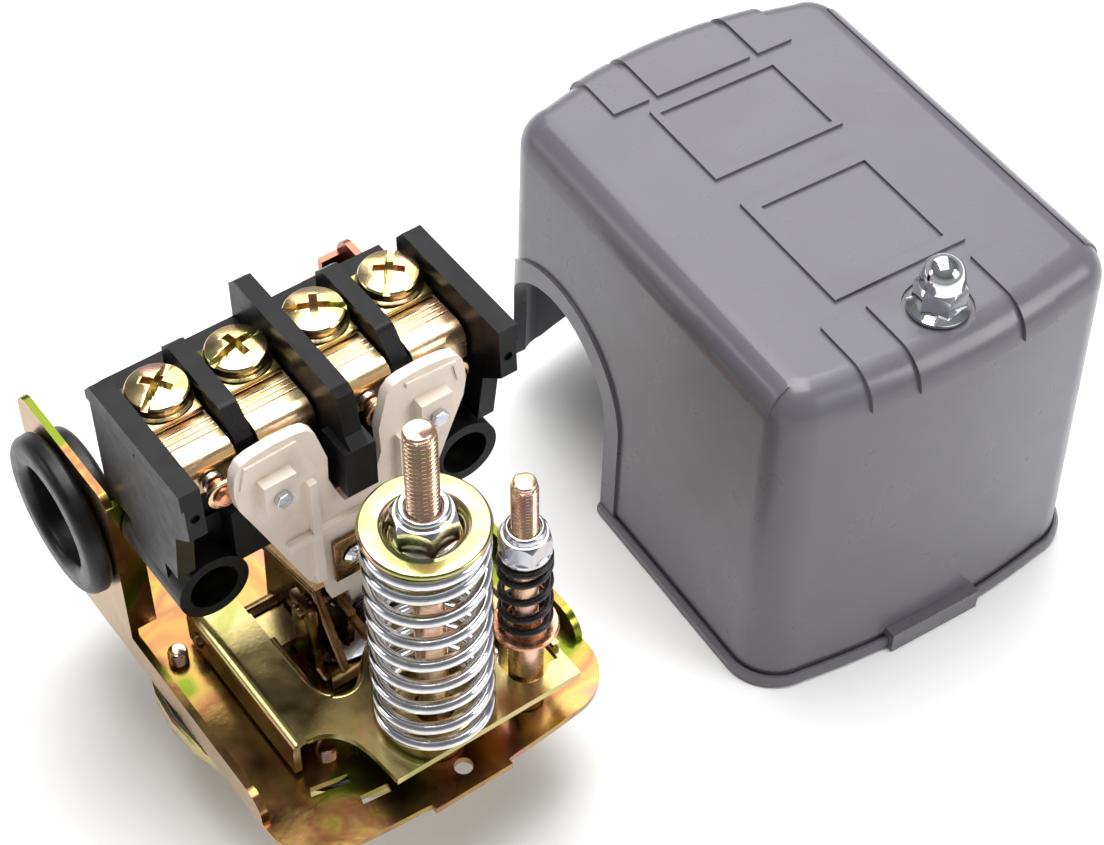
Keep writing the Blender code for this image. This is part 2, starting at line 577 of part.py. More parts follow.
join(carrier, "carrier_detail", *raised_all(
    *bosses, rod(CARRIER_PIVOT_Y, CARRIER_PIVOT_Z, 3.4, -3.2, 8, "X", 20),
    box(-3.2, 8, CARRIER_FRONT_Y, 6.4, CARRIER_PIVOT_Z + 1, 27.0), box(-3.2, 6, 2.8, 5.2, 11.6, 18.0)))
cut(carrier, "carrier_holes", *raised_all(
    carrier_pin_hole, rod(RIVET_X, RIVET_Z, 1.6, -4, 3, "Y", 12),
    *[rod(side * WING_CENTRE_X, CONTACT_Z, 1.5, -6, 6, "Y", 16) for side in (-1, 1)]))
sub_part("carrier_pivot_plate", "dark_yellow_zinc", raised_all(
    box(-6.4, 4.4, CARRIER_FRONT_Y - GAP - 1.0, CARRIER_FRONT_Y - GAP, 30.5, 41.0)))
cut(bpy.data.objects["carrier_pivot_plate"], "rivet_hole", raised(rod(RIVET_X, RIVET_Z, 1.6, -4, 3, "Y", 12)))
rivet_front = CARRIER_FRONT_Y - 2 * GAP - 1.0
sub_part("bracket_rivet", "spring_steel", [turned([
    (0, rivet_front - 1.0), (1.6, rivet_front - 0.9), (2.4, rivet_front), (1.3, rivet_front),
    (1.3, carrier_back + GAP), (2.2, carrier_back + GAP), (2.2, carrier_back + 0.9), (0, carrier_back + 0.9)],
    (RIVET_X, 0, BASE_TOP + RIVET_Z), "Y", 12)])
bridge_front = carrier_back + 1.4
contact_back = bridge_front + BRIDGE_THICKNESS + GAP
for side, label in ((-1, "left"), (1, "right")):
    middle = side * WING_CENTRE_X
    reach = 7.9
    outline = []
    for end in (1, -1):
        for step in range(9):
            angle = -math.pi / 2 + math.pi * step / 8
            outline.append((middle + end * (reach + BRIDGE_HALF_HEIGHT * math.cos(angle)),
                            CONTACT_Z + end * BRIDGE_HALF_HEIGHT * math.sin(angle)))
    bridge = sub_part("moving_bridge_" + label, "brass", raised_all(
        prism(outline, bridge_front, bridge_front + BRIDGE_THICKNESS, "Y")))
    cut(bridge, "bridge_hole_" + label, raised(rod(middle, CONTACT_Z, 1.5, 0, 6, "Y", 16)))
    sub_part("contact_pin_" + label, "blue_zinc", raised_all(
        rod(middle, CONTACT_Z, 1.15, CARRIER_FRONT_Y - 3.8, bridge_front + BRIDGE_THICKNESS + 1.4, "Y", 16)))


# Terminal block

block = sub_part("terminal_block", "black_moulding", raised_all(box(-29, 29, 10.4, 35, 44, 65.2)))
end_barrier = [(30, 44), (30, 70.5), (28, BARRIER_TOP), (-2.2, BARRIER_TOP), (-2.8, 62), (3, 57), (5, 44)]
inner_barrier = [(32.5, 50), (32.5, 71), (12, 71), (8.2, 66), (8.2, 50)]
centre_barrier = [(35.5, 44), (35.5, 75), (0.5, 75), (-1.5, 66), (-3.5, 64), (-3.5, 53), (5, 48), (11.0, 46)]
barrier_shapes = (end_barrier, inner_barrier, centre_barrier, inner_barrier, end_barrier)
barriers = []
for x, shape in zip(BARRIER_X, barrier_shapes):
    barriers.append(prism(shape, x - BARRIER_HALF_THICKNESS, x + BARRIER_HALF_THICKNESS, "X"))
join(block, "barriers", *raised_all(*barriers, box(-3.1, 3.1, -3.5, 4.0, 53, 64)))
for side, label in ((-1, "left"), (1, "right")):
    web_low, web_high = sorted((side * 20.0, side * 33.2))
    join(block, "sleeve_" + label, *raised_all(
        rod(side * SLEEVE_X, SLEEVE_Z, SLEEVE_RADIUS, SLEEVE_FRONT_Y, SLEEVE_BACK_Y, "Y", 28),
        box(web_low, web_high, 9.5, 21.5, SLEEVE_Z, 50)))
join(block, "saddle", raised(box(-21.5, 21.5, 5.2, 11.0, 40, 53)))
cut(block, "saddle_arch", raised(rod(0, 28, 17.5, 2, 11.2, "Y", 40)))
cut(block, "sleeve_bores", *raised_all(
    *[rod(side * SLEEVE_X, SLEEVE_Z, 4.8, 3, 14, "Y", 20) for side in (-1, 1)]))
cut(block, "sleeve_holes", *raised_all(
    *[rod(side * SLEEVE_X, SLEEVE_Z, 2.3, 10, 30, "Y", 16) for side in (-1, 1)]))
cut(block, "terminal_screw_holes", *raised_all(*[rod(x, TERMINAL_Y, 2.3, 50, 66, steps=12) for x in TERMINAL_X]))
for side, label in ((-1, "left"), (1, "right")):
    sub_part("block_screw_" + label, "yellow_zinc", [turned([
        (0, 10.8), (3.0, 10.8), (4.0, 11.6), (4.0, 14.0 - GAP), (2.0, 14.0 - GAP), (2.0, 30.5), (0, 30.5)],
        (side * SLEEVE_X, 0, BASE_TOP + SLEEVE_Z), "Y", 20)])


# Terminals

strap_low = STRAP_TOP - STRAP_THICKNESS
strap_profile = [(29.5, STRAP_TOP), (10.8, STRAP_TOP), (8.4, STRAP_TOP - 0.7), (6.9, STRAP_TOP - 2.2),
                 (6.9, 59.6), (8.1, 59.6), (8.1, STRAP_TOP - 2.7), (9.1, strap_low - 0.6),
                 (11.0, strap_low), (29.5, strap_low)]
screw_seat = STRAP_TOP + 2 * GAP + 1.2
for number, x in enumerate(TERMINAL_X):
    label = str(number + 1)
    strap = sub_part("terminal_strap_" + label, "brass", raised_all(
        prism(strap_profile, x - STRAP_HALF_WIDTH, x + STRAP_HALF_WIDTH, "X")))
    cut(strap, "strap_hole_" + label, raised(rod(x, TERMINAL_Y, 2.3, 60, 70, steps=12)))
    clamp = sub_part("clamp_plate_" + label, "yellow_zinc", raised_all(box(
        x - 5.2, x + 5.2, TERMINAL_Y - 6.2, TERMINAL_Y + 5.4, STRAP_TOP + GAP, STRAP_TOP + GAP + 1.2)))
    cut(clamp, "clamp_hole_" + label, raised(rod(x, TERMINAL_Y, 2.3, 60, 72, steps=12)))
    terminal_screw = sub_part("terminal_screw_" + label, "yellow_zinc", [turned([
        (0, 53), (2.0, 53), (2.0, screw_seat), (HEAD_RADIUS, screw_seat), (HEAD_RADIUS, screw_seat + 1.4),
        (HEAD_RADIUS - 1.3, screw_seat + 2.9), (0, screw_seat + 3.6)], (x, TERMINAL_Y, BASE_TOP), "Z", 20)])
    cut(terminal_screw, "screw_slot_" + label, raised(box(
        x - 6, x + 6, TERMINAL_Y - 0.6, TERMINAL_Y + 0.6, screw_seat + 2.4, screw_seat + 5)))
    sub_part("fixed_contact_" + label, "silver", raised_all(
        rod(x, CONTACT_Z, CONTACT_RADIUS + 0.1, 5.5, 6.6, "Y", 12)))
    sub_part("moving_contact_" + label, "silver", raised_all(
        rod(x, CONTACT_Z, CONTACT_RADIUS, contact_back, 5.2, "Y", 12)))


# Grommets in the end plates

for side, label in ((-1, "left"), (1, "right")):
    outward = [(GROMMET_BORE, 30.8), (12.4, 30.8), (15.0, 33.9), (GROMMET_HOLE - GAP, 33.9),
               (GROMMET_HOLE - GAP, 36.0), (15.6, 36.0), (16.3, 37.2), (16.3, 38.6), (15.2, 40.5),
               (12.4, 40.5), (11.0, 39.8), (GROMMET_BORE, 38.6)]
    sub_part("grommet_" + label, "rubber", [turned(
        [(radius, side * height) for radius, height in outward], (0, GROMMET_Y, BASE_TOP + GROMMET_Z), "X", 24)])


# Cover with its cap nut and retainer

def cover_ring(inset, height):
    outline = rounded_outline(COVER_HALF_WIDTH - inset, COVER_FRONT_Y + inset, COVER_REAR_Y - inset,
                              COVER_CORNER - inset, COVER_FRONT_BOW, COVER_REAR_BOW)
    return [(x, y, height) for x, y in outline]


def cover_profile(inset, top, fillet):
    """Rings from the wall's foot to the flat top, following the draft and the top fillet."""
    rings = [cover_ring(inset + COVER_DRAFT, top - fillet)]
    for step in range(1, FILLET_STEPS + 1):
        angle = math.pi / 2 * step / FILLET_STEPS
        rings.append(cover_ring(inset + COVER_DRAFT + fillet * (1 - math.cos(angle)),
                                top - fillet + fillet * math.sin(angle)))
    return rings


inner_rings = [cover_ring(COVER_WALL, 0)] + cover_profile(
    COVER_WALL, COVER_HEIGHT - COVER_WALL, COVER_FILLET - COVER_WALL)
outer_rings = [cover_ring(-RIM_REACH, 0), cover_ring(-RIM_REACH, RIM_HEIGHT), cover_ring(0, RIM_HEIGHT)]
outer_rings += cover_profile(0, COVER_HEIGHT, COVER_FILLET)
cover = sub_part("cover", "grey_moulding", [lofted(inner_rings[::-1] + outer_rings)])
tab_front = COVER_FRONT_Y - COVER_FRONT_BOW - RIM_REACH - 0.9
cover_raised = [box(-RIM_TAB_HALF_WIDTH, RIM_TAB_HALF_WIDTH, tab_front, COVER_FRONT_Y - COVER_FRONT_BOW + 0.6,
                    0, RIM_TAB_HEIGHT)]
for y, half_depth, border in FRAMES:
    cover_raised.append(box(-FRAME_HALF_WIDTH, FRAME_HALF_WIDTH, y - half_depth, y + half_depth,
                            COVER_HEIGHT - 0.8, COVER_HEIGHT + RELIEF))
for y_low, y_high in PAD_ROWS:
    for x, half_width in PADS:
        cover_raised.append(box(x - half_width, x + half_width, y_low, y_high,
                                COVER_HEIGHT - 0.8, COVER_HEIGHT + RELIEF))
join(cover, "cover_raised", *cover_raised)
cut(cover, "cover_frame_fields", *[box(
    border - FRAME_HALF_WIDTH, FRAME_HALF_WIDTH - border, y - half_depth + border, y + half_depth - border,
    COVER_HEIGHT + 0.05, COVER_HEIGHT + 3) for y, half_depth, border in FRAMES])
arch_round = [(ARCH_Y + ARCH_RADIUS * math.cos(a), ARCH_Z + ARCH_RADIUS * math.sin(a))
              for a in [math.pi * step / 20 for step in range(21)]]
arch_outline = [(ARCH_Y + ARCH_RADIUS, -3)] + arch_round + [(ARCH_Y - ARCH_RADIUS, -3)]
cut(cover, "cover_arches", prism(arch_outline, -45, -30, "X"), prism(arch_outline, 30, 45, "X"))
cut(cover, "cover_rear_foot", box(-45, 45, ARCH_Y + ARCH_RADIUS - 1.0, 80, -3, REAR_WALL_FOOT))
nut_seat = COVER_HEIGHT + 0.1
cut(cover, "cover_nut_hole", rod(0, RANGE_Y, 4.5, 70, 90))
cut(cover, "cover_nut_seat", rod(0, RANGE_Y, 6.9, nut_seat, 90, steps=32))
nut_base = nut_seat + GAP
cap_nut = sub_part("cap_nut", "chrome", [turned([
    (3.1, COVER_HEIGHT - COVER_WALL - 3.4), (4.1, COVER_HEIGHT - COVER_WALL - 3.4), (4.1, nut_base),
    (6.0, nut_base), (6.0, nut_base + 1.2), (4.3, nut_base + 1.7), (4.3, nut_base + 8.2),
    (3.6, nut_base + 10.4), (2.0, nut_base + 11.8), (0, nut_base + 12.3), (0, nut_base + 9.0),
    (3.1, nut_base + 8.0)], (0, RANGE_Y, 0), "Z", 16)])
join(cap_nut, "cap_nut_hexagon", prism(hexagon(0, RANGE_Y, CAP_NUT_FLATS), nut_base + 0.8, nut_base + 6.6))
cut(cap_nut, "cap_nut_bore", rod(0, RANGE_Y, 3.1, 70, nut_base + 8.0))
retainer_top = COVER_HEIGHT - COVER_WALL - 4 * GAP
retainer = sub_part("cap_nut_retainer", "blue_zinc", [turned([
    (4.1 + GAP, retainer_top - 1.0), (5.8, retainer_top - 1.0), (5.8, retainer_top),
    (4.1 + GAP, retainer_top)], (0, RANGE_Y, 0), "Z", 20)])

parked = Matrix.Translation(Vector((COVER_PARK_X, COVER_PARK_Y, 0)) * MM)
parked = parked @ Matrix.Rotation(COVER_YAW, 4, "Z")
parked = parked @ Matrix.Translation(Vector((0, -COVER_CENTRE_Y, 0)) * MM)
for piece in list(parts.objects) + list(cutters.objects):
    if piece.name.startswith(("cover", "cap_nut")):
        piece.data.transform(parked)
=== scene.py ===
"""Looks of the pressure switch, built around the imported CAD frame.

The mechanism is drawn in millimetres measured from the base sheet's top face, as the CAD is;
the cover is drawn where it sits when fitted and then moved to where it stands.
"""
import math

import bmesh
import bpy
from mathutils import Matrix, Vector


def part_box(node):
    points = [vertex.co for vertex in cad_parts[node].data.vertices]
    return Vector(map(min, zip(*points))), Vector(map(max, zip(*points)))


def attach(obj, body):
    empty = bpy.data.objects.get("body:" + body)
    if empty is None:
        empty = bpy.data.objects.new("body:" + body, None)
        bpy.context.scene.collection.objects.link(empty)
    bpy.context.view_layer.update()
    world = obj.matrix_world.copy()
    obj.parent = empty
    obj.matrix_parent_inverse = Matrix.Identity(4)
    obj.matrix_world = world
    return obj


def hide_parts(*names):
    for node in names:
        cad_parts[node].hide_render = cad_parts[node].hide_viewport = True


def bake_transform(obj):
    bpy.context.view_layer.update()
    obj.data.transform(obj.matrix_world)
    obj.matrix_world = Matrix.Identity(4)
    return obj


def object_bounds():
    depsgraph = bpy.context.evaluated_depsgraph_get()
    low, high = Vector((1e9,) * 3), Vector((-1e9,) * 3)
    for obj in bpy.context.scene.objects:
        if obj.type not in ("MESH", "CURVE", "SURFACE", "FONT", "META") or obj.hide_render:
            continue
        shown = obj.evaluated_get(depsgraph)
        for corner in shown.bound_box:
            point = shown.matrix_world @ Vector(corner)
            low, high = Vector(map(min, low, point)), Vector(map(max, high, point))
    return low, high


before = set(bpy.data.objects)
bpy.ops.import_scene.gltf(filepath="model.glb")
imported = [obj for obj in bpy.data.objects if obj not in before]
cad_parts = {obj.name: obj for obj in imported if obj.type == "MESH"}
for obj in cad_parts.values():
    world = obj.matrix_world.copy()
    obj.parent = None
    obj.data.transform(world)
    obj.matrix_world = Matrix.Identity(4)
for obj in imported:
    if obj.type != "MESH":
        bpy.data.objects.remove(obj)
cad_low, cad_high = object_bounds()

MM = 0.001
FULL_TURN = 2 * math.pi

# Driving dimensions shared with the CAD
SHEET = 1.5
BASE_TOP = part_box("base_frame")[0].z / MM + SHEET
BASE_HALF_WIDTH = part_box("base_frame")[1].x / MM
BASE_FRONT_Y = -33.0
BASE_REAR_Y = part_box("base_frame")[1].y / MM
BASE_BOW = 1.4
BASE_CORNER = 11.0
TAB_HALF_WIDTH = 8.5
TAB_DEPTH = 1.2
LIP_HEIGHT = 5.5
LIP_FRONT_Y = -20.0
PLATE_FRONT_Y = 26.0
PLATE_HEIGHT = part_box("base_frame")[1].z / MM - BASE_TOP
LEVER_TOP = 10.0
LEVER_HALF_WIDTH = 25.5
LEVER_PIVOT = (19.0, 4.6)
WINDOW_HALF_WIDTH = 14.5
RANGE_Y = -23.0
RANGE_CUP_RIM = 63.5
DIFF_X = 19.0
DIFF_Y = -25.0
DIFF_SEAT_Z = 22.6
DIFF_SPRING_TOP = 44.0
CARRIER_PIVOT = (4.0, 19.0)
CARRIER_FRONT_Y = -1.2
CONTACT_Z = 62.3
WING_X = 15.8
TERMINAL_X = (-23.6, -7.9, 7.9, 23.6)
TERMINAL_Y = 22.9
BARRIER_X = (-31.5, -15.75, 0.0, 15.75, 31.5)
BARRIER_HALF = 1.75
BARRIER_TOP = 73.0
STRAP_TOP = 67.0
STRAP_HALF_WIDTH = 5.6
HEAD_RADIUS = 5.8
HEAD_SEAT = STRAP_TOP + 1.8
DRIVE_ANGLES = (38.0, 12.0, -28.0, 52.0)
SLEEVE_X = 26.7
SLEEVE_Z = 36.8
GROMMET_Y = 43.0
GROMMET_Z = 27.5
COVER_HALF_WIDTH = 40.5
COVER_FRONT_Y = -32.6
COVER_REAR_Y = 68.4
COVER_FRONT_BOW = 2.6
COVER_REAR_BOW = 4.4
COVER_CORNER = 10.0
COVER_HEIGHT = 82.5
COVER_WALL = 1.6
COVER_DRAFT = 1.6
COVER_FILLET = 7.5
RIM_REACH = 1.4
RIM_HEIGHT = 3.2
ARCH_Y = 45.2
ARCH_Z = 26.6
ARCH_RADIUS = 19.6
ARCH_BAND = 5.0
COVER_CENTRE_Y = 14.6
COVER_PARK = (112.2, 8.6)
COVER_YAW = math.radians(-3.5)
RELIEF = 0.7
FRAME_HALF_WIDTH = 15.3
FRAMES = ((38.4, 11.6, 1.5), (3.5, 15.3, 2.9))
PADS = ((-17.5, 4.2), (0.0, 11.3), (17.5, 4.2))
PAD_ROWS = ((-40.0, -15.9), (53.0, 80.0))
REAR_WALL_FOOT = 12.0

LIFT = Matrix.Translation(Vector((0, 0, BASE_TOP)) * MM)
PARKED = (Matrix.Translation(Vector((*COVER_PARK, 0)) * MM) @ Matrix.Rotation(COVER_YAW, 4, "Z")
          @ Matrix.Translation(Vector((0, -COVER_CENTRE_Y, 0)) * MM))


# Materials

COAT_ROUGHNESS = 0.12
WORN_EDGE_FROM = 0.52
WORN_EDGE_TO = 0.62
BUMP_HEIGHT = 0.0002

def add_node(tree, kind, **values):
    made = tree.nodes.new(kind)
    for key, value in values.items():
        if key in made.inputs:
            made.inputs[key].default_value = value
        else:
            setattr(made, key, value)
    return made


def noise(tree, scale, detail=3.0, distortion=0.0):
    """Noise in the piece's own coordinates; scale counts features per metre."""
    coords = add_node(tree, "ShaderNodeTexCoord")
    texture = add_node(tree, "ShaderNodeTexNoise", Scale=scale, Detail=detail, Distortion=distortion)
    tree.links.new(coords.outputs["Object"], texture.inputs["Vector"])
    return texture.outputs["Fac"]


def ramp(tree, source, stops):
    made = tree.nodes.new("ShaderNodeValToRGB")
    elements = made.color_ramp.elements
    for index, (place, colour) in enumerate(stops):
        element = elements[index] if index < 2 else elements.new(place)
        element.position = place
        element.color = (*colour, 1.0)
    tree.links.new(source, made.inputs["Fac"])
    return made.outputs["Color"]


def ranged(tree, source, low, high):
    made = tree.nodes.new("ShaderNodeMapRange")
    made.inputs["From Min"].default_value = 0.3
    made.inputs["From Max"].default_value = 0.7
    made.inputs["To Min"].default_value = low
    made.inputs["To Max"].default_value = high
    tree.links.new(source, made.inputs["Value"])
    return made.outputs["Result"]


def finish(name, stops, patches, metallic, roughness, grain, depth, coat=0.0, wear=None, gloss=0.5):
    """Principled material: colour patches, uneven gloss, fine grain and lighter worn edges."""
    made = bpy.data.materials.new(name)
    made.use_nodes = True
    tree = made.node_tree
    shader = tree.nodes["Principled BSDF"]
    shader.inputs["Metallic"].default_value = metallic
    shader.inputs["Coat Weight"].default_value = coat
    shader.inputs["Coat Roughness"].default_value = COAT_ROUGHNESS
    shader.inputs["Specular IOR Level"].default_value = gloss
    colour = ramp(tree, noise(tree, patches, 3.0, 0.8), stops)
    if wear:
        edges = tree.nodes.new("ShaderNodeNewGeometry").outputs["Pointiness"]
        mask = tree.nodes.new("ShaderNodeMapRange")
        mask.inputs["From Min"].default_value = WORN_EDGE_FROM
        mask.inputs["From Max"].default_value = WORN_EDGE_TO
        tree.links.new(edges, mask.inputs["Value"])
        mix = tree.nodes.new("ShaderNodeMix")
        mix.data_type = "RGBA"
        tree.links.new(mask.outputs["Result"], mix.inputs["Factor"])
        tree.links.new(colour, mix.inputs["A"])
        mix.inputs["B"].default_value = (*wear, 1.0)
        colour = mix.outputs["Result"]
    tree.links.new(colour, shader.inputs["Base Color"])
    tree.links.new(ranged(tree, noise(tree, patches * 3, 5.0), *roughness), shader.inputs["Roughness"])
    bump = add_node(tree, "ShaderNodeBump", Strength=depth, Distance=BUMP_HEIGHT)
    tree.links.new(noise(tree, grain, 2.0), bump.inputs["Height"])
    tree.links.new(bump.outputs["Normal"], shader.inputs["Normal"])
    return made


MATERIALS = {
    "base_zinc": finish("base_zinc", [
        (0.36, (0.16, 0.20, 0.02)), (0.43, (0.36, 0.24, 0.06)), (0.50, (0.30, 0.13, 0.06)),
        (0.57, (0.40, 0.26, 0.08)), (0.64, (0.42, 0.18, 0.12))], 42, 1.0, (0.16, 0.28), 900, 0.1),
    "yellow_zinc": finish("yellow_zinc", [
        (0.34, (0.34, 0.33, 0.10)), (0.45, (0.56, 0.45, 0.20)), (0.56, (0.50, 0.42, 0.17)),
        (0.67, (0.60, 0.32, 0.24))], 60, 1.0, (0.16, 0.28), 1200, 0.06),
    # Painted sheen: a lighter, pinker copy of the base zinc for the outward faces of the end plates and lips,
    # standing in for the light they catch
    "plate_zinc": finish("plate_zinc", [
        (0.32, (0.46, 0.29, 0.17)), (0.50, (0.39, 0.26, 0.12)), (0.66, (0.45, 0.24, 0.16))],
        40, 1.0, (0.22, 0.34), 1000, 0.1),
    "zinc_edge": finish("zinc_edge", [
        (0.35, (0.50, 0.21, 0.09)), (0.50, (0.66, 0.32, 0.16)), (0.62, (0.60, 0.38, 0.14))],
        160, 1.0, (0.22, 0.38), 2200, 0.2),
    "dark_zinc": finish("dark_zinc", [
        (0.34, (0.15, 0.085, 0.04)), (0.50, (0.26, 0.16, 0.07)), (0.64, (0.20, 0.12, 0.05))],
        90, 1.0, (0.18, 0.3), 1200, 0.1),
    "stud_zinc": finish("stud_zinc", [
        (0.34, (0.72, 0.56, 0.30)), (0.50, (0.78, 0.52, 0.36)), (0.64, (0.76, 0.46, 0.40))],
        110, 1.0, (0.18, 0.3), 1800, 0.06),
    "cup_zinc": finish("cup_zinc", [
        (0.34, (0.36, 0.38, 0.13)), (0.50, (0.50, 0.47, 0.20)), (0.66, (0.58, 0.36, 0.28))],
        75, 1.0, (0.14, 0.24), 1600, 0.05),
    "head_zinc": finish("head_zinc", [
        (0.34, (0.42, 0.44, 0.16)), (0.46, (0.66, 0.50, 0.24)), (0.56, (0.62, 0.48, 0.26)),
        (0.66, (0.66, 0.36, 0.32))], 150, 1.0, (0.12, 0.22), 2500, 0.06),
    "blue_zinc": finish("blue_zinc", [
        (0.35, (0.44, 0.47, 0.54)), (0.50, (0.60, 0.61, 0.65)), (0.62, (0.58, 0.54, 0.52))],
        180, 1.0, (0.12, 0.24), 2000, 0.08),
    "spring_steel": finish("spring_steel", [
        (0.35, (0.60, 0.61, 0.64)), (0.60, (0.74, 0.74, 0.77))], 200, 1.0, (0.1, 0.2), 3000, 0.05),
    "black_steel": finish("black_steel", [
        (0.35, (0.008, 0.008, 0.009)), (0.65, (0.022, 0.018, 0.017))], 300, 0.4, (0.2, 0.34), 3000, 0.1),
    "copper": finish("copper", [
        (0.35, (0.60, 0.24, 0.12)), (0.60, (0.74, 0.38, 0.24))], 240, 1.0, (0.2, 0.32), 2500, 0.1),
    "brass": finish("brass", [
        (0.32, (0.68, 0.48, 0.25)), (0.50, (0.76, 0.58, 0.34)), (0.66, (0.72, 0.46, 0.29))],
        90, 1.0, (0.2, 0.3), 1500, 0.06),
    "silver": finish("silver", [
        (0.35, (0.70, 0.68, 0.66)), (0.60, (0.84, 0.84, 0.82))], 400, 1.0, (0.16, 0.3), 3500, 0.15),
    "chrome": finish("chrome", [
        (0.35, (0.66, 0.68, 0.71)), (0.60, (0.78, 0.79, 0.81))], 200, 1.0, (0.05, 0.1), 3000, 0.02),
    "black_moulding": finish("black_moulding", [
        (0.35, (0.0045, 0.0045, 0.005)), (0.62, (0.009, 0.0085, 0.010))],
        120, 0.0, (0.3, 0.42), 2600, 0.2, gloss=0.16),
    "beige_moulding": finish("beige_moulding", [
        (0.35, (0.74, 0.63, 0.53)), (0.55, (0.82, 0.71, 0.60)), (0.68, (0.77, 0.66, 0.56))],
        90, 0.0, (0.36, 0.5), 2400, 0.12, wear=(0.80, 0.72, 0.62)),
    "grey_moulding": finish("grey_moulding", [
        (0.35, (0.108, 0.102, 0.119)), (0.50, (0.115, 0.109, 0.127)), (0.66, (0.111, 0.105, 0.123))],
        40, 0.0, (0.26, 0.34), 1500, 0.05, coat=0.15, gloss=0.42),
    "rubber": finish("rubber", [
        (0.35, (0.004, 0.004, 0.004)), (0.62, (0.009, 0.0085, 0.0085))], 160, 0.0, (0.3, 0.42), 2600, 0.12,
        gloss=0.3),
}


# Solids: (points, faces, indices of faces that are cut sheet edges)

def prism(outline, low, high, axis="Z", edges="walls"):
    """Extrude an outline along an axis: XY outlines along Z, XZ along Y, YZ along X."""
    place = {"Z": lambda a, b, h: (a, b, h), "Y": lambda a, b, h: (a, h, b), "X": lambda a, b, h: (h, a, b)}
    count = len(outline)
    points = [place[axis](a, b, height) for height in (low, high) for a, b in outline]
    faces = [list(range(count)), list(range(count, 2 * count))]
    for index in range(count):
        after = (index + 1) % count
        faces.append([index, after, count + after, count + index])
    marked = set(range(2, len(faces))) if edges == "walls" else {0, 1}
    return points, faces, marked


def box(x_low, x_high, y_low, y_high, z_low, z_high):
    outline = [(x_low, y_low), (x_high, y_low), (x_high, y_high), (x_low, y_high)]
    return plain(prism(outline, z_low, z_high))


def plain(solid):
    return solid[0], solid[1], set()


def arc(centre_a, centre_b, radius, first, last, steps=8):
    """Points round part of a circle, angles in degrees."""
    angles = [math.radians(first + (last - first) * step / steps) for step in range(steps + 1)]
    return [(centre_a + radius * math.cos(a), centre_b + radius * math.sin(a)) for a in angles]


def circle(centre_a, centre_b, radius, steps=48, start=0.0):
    return arc(centre_a, centre_b, radius, start, start + 360, steps)[:-1]


def hexagon(centre_a, centre_b, flats, start=10.0):
    return circle(centre_a, centre_b, flats / math.sqrt(3), 6, start)


def rod(centre_a, centre_b, radius, low, high, axis="Z", steps=48):
    return plain(prism(circle(centre_a, centre_b, radius, steps), low, high, axis))


def drill(centre_a, centre_b, radius, low, high, axis="Z", steps=48):
    """Like rod, for a hole whose wall is a cut sheet edge."""
    return prism(circle(centre_a, centre_b, radius, steps), low, high, axis)


def turned(profile, centre=(0, 0, 0), axis="Z", steps=64):
    """Spin a closed (radius, height) outline about an axis through the centre point."""
    place = {"Z": lambda c, s, h: (c, s, h), "Y": lambda c, s, h: (c, h, s), "X": lambda c, s, h: (h, c, s)}
    points = []
    rings = []
    for radius, height in profile:
        around = 1 if radius == 0 else steps
        rings.append([len(points) + step for step in range(around)])
        for step in range(around):
            angle = FULL_TURN * step / steps
            offset = place[axis](radius * math.cos(angle), radius * math.sin(angle), height)
            points.append(tuple(base + extra for base, extra in zip(centre, offset)))
    faces = []
    for index, ring in enumerate(rings):
        other = rings[(index + 1) % len(rings)]
        if len(ring) == 1 and len(other) == 1:
            continue
        for step in range(steps):
            after = (step + 1) % steps
            corners = [ring[step % len(ring)], ring[after % len(ring)]]
            corners += [other[after % len(other)], other[step % len(other)]]
            faces.append(list(dict.fromkeys(corners)))
    return points, faces, set()


def skinned(rings):
    """Closed solid through rings of equal length, capped at both ends."""
    count = len(rings[0])
    points = [point for ring in rings for point in ring]
    last = (len(rings) - 1) * count
    faces = [list(range(count)), list(range(last, last + count))]
    for level in range(len(rings) - 1):
        for index in range(count):
            after = (index + 1) % count
            low = level * count
            faces.append([low + index, low + after, low + count + after, low + count + index])
    return points, faces, set()


def coil(centre, radius, wire, low, high, turns, axis="Z", per_turn=44, sides=14):
    """Compression spring with one closed turn at each end."""
    place = {"Z": lambda a, b, h: (a, b, h), "Y": lambda a, b, h: (a, h, b)}
    count = int(turns * per_turn)
    closed_pitch = 2 * wire + 0.25
    free_pitch = (high - low - 2 * wire - 2 * closed_pitch) / (turns - 2)
    rings = []
    for step in range(count + 1):
        turn = turns * step / count
        rise = closed_pitch * min(turn, 1) + free_pitch * min(max(turn - 1, 0), turns - 2)
        rise += closed_pitch * max(turn - (turns - 1), 0)
        angle = FULL_TURN * turn
        ring = []
        for around, height in circle(radius - wire, low + wire + rise, wire, sides):
            offset = place[axis](around * math.cos(angle), around * math.sin(angle), height)
            ring.append(tuple(base + extra for base, extra in zip(centre, offset)))
        rings.append(ring)
    return skinned(rings)


def thread(centre, outer, pitch, low, high, depth=0.6, around=40, per_pitch=8):
    """Threaded rod: the radius follows a helix of the given pitch."""
    rings = []
    for row in range(int((high - low) / pitch * per_pitch) + 1):
        height = low + row * pitch / per_pitch
        fade = min(1.0, (high - height) / pitch)
        ring = []
        for step in range(around):
            phase = (height / pitch - step / around) % 1.0
            dip = abs(2 * phase - 1)
            radius = outer - depth * pitch * min(1.0, 1.25 * dip) - 0.35 * (1 - fade)
            angle = FULL_TURN * step / around
            ring.append((centre[0] + radius * math.cos(angle), centre[1] + radius * math.sin(angle), height))
        rings.append(ring)
    return skinned(rings)


def tube(path, radius, sides=12):
    """Round bar that follows a path of points."""
    rings = []
    for index, point in enumerate(path):
        before = Vector(path[max(index - 1, 0)])
        after = Vector(path[min(index + 1, len(path) - 1)])
        along = (after - before).normalized()
        side = along.cross(Vector((0, 0, 1))).normalized()
        up = side.cross(along)
        rings.append([tuple(Vector(point) + side * a + up * b) for a, b in circle(0, 0, radius, sides)])
    return skinned(rings)


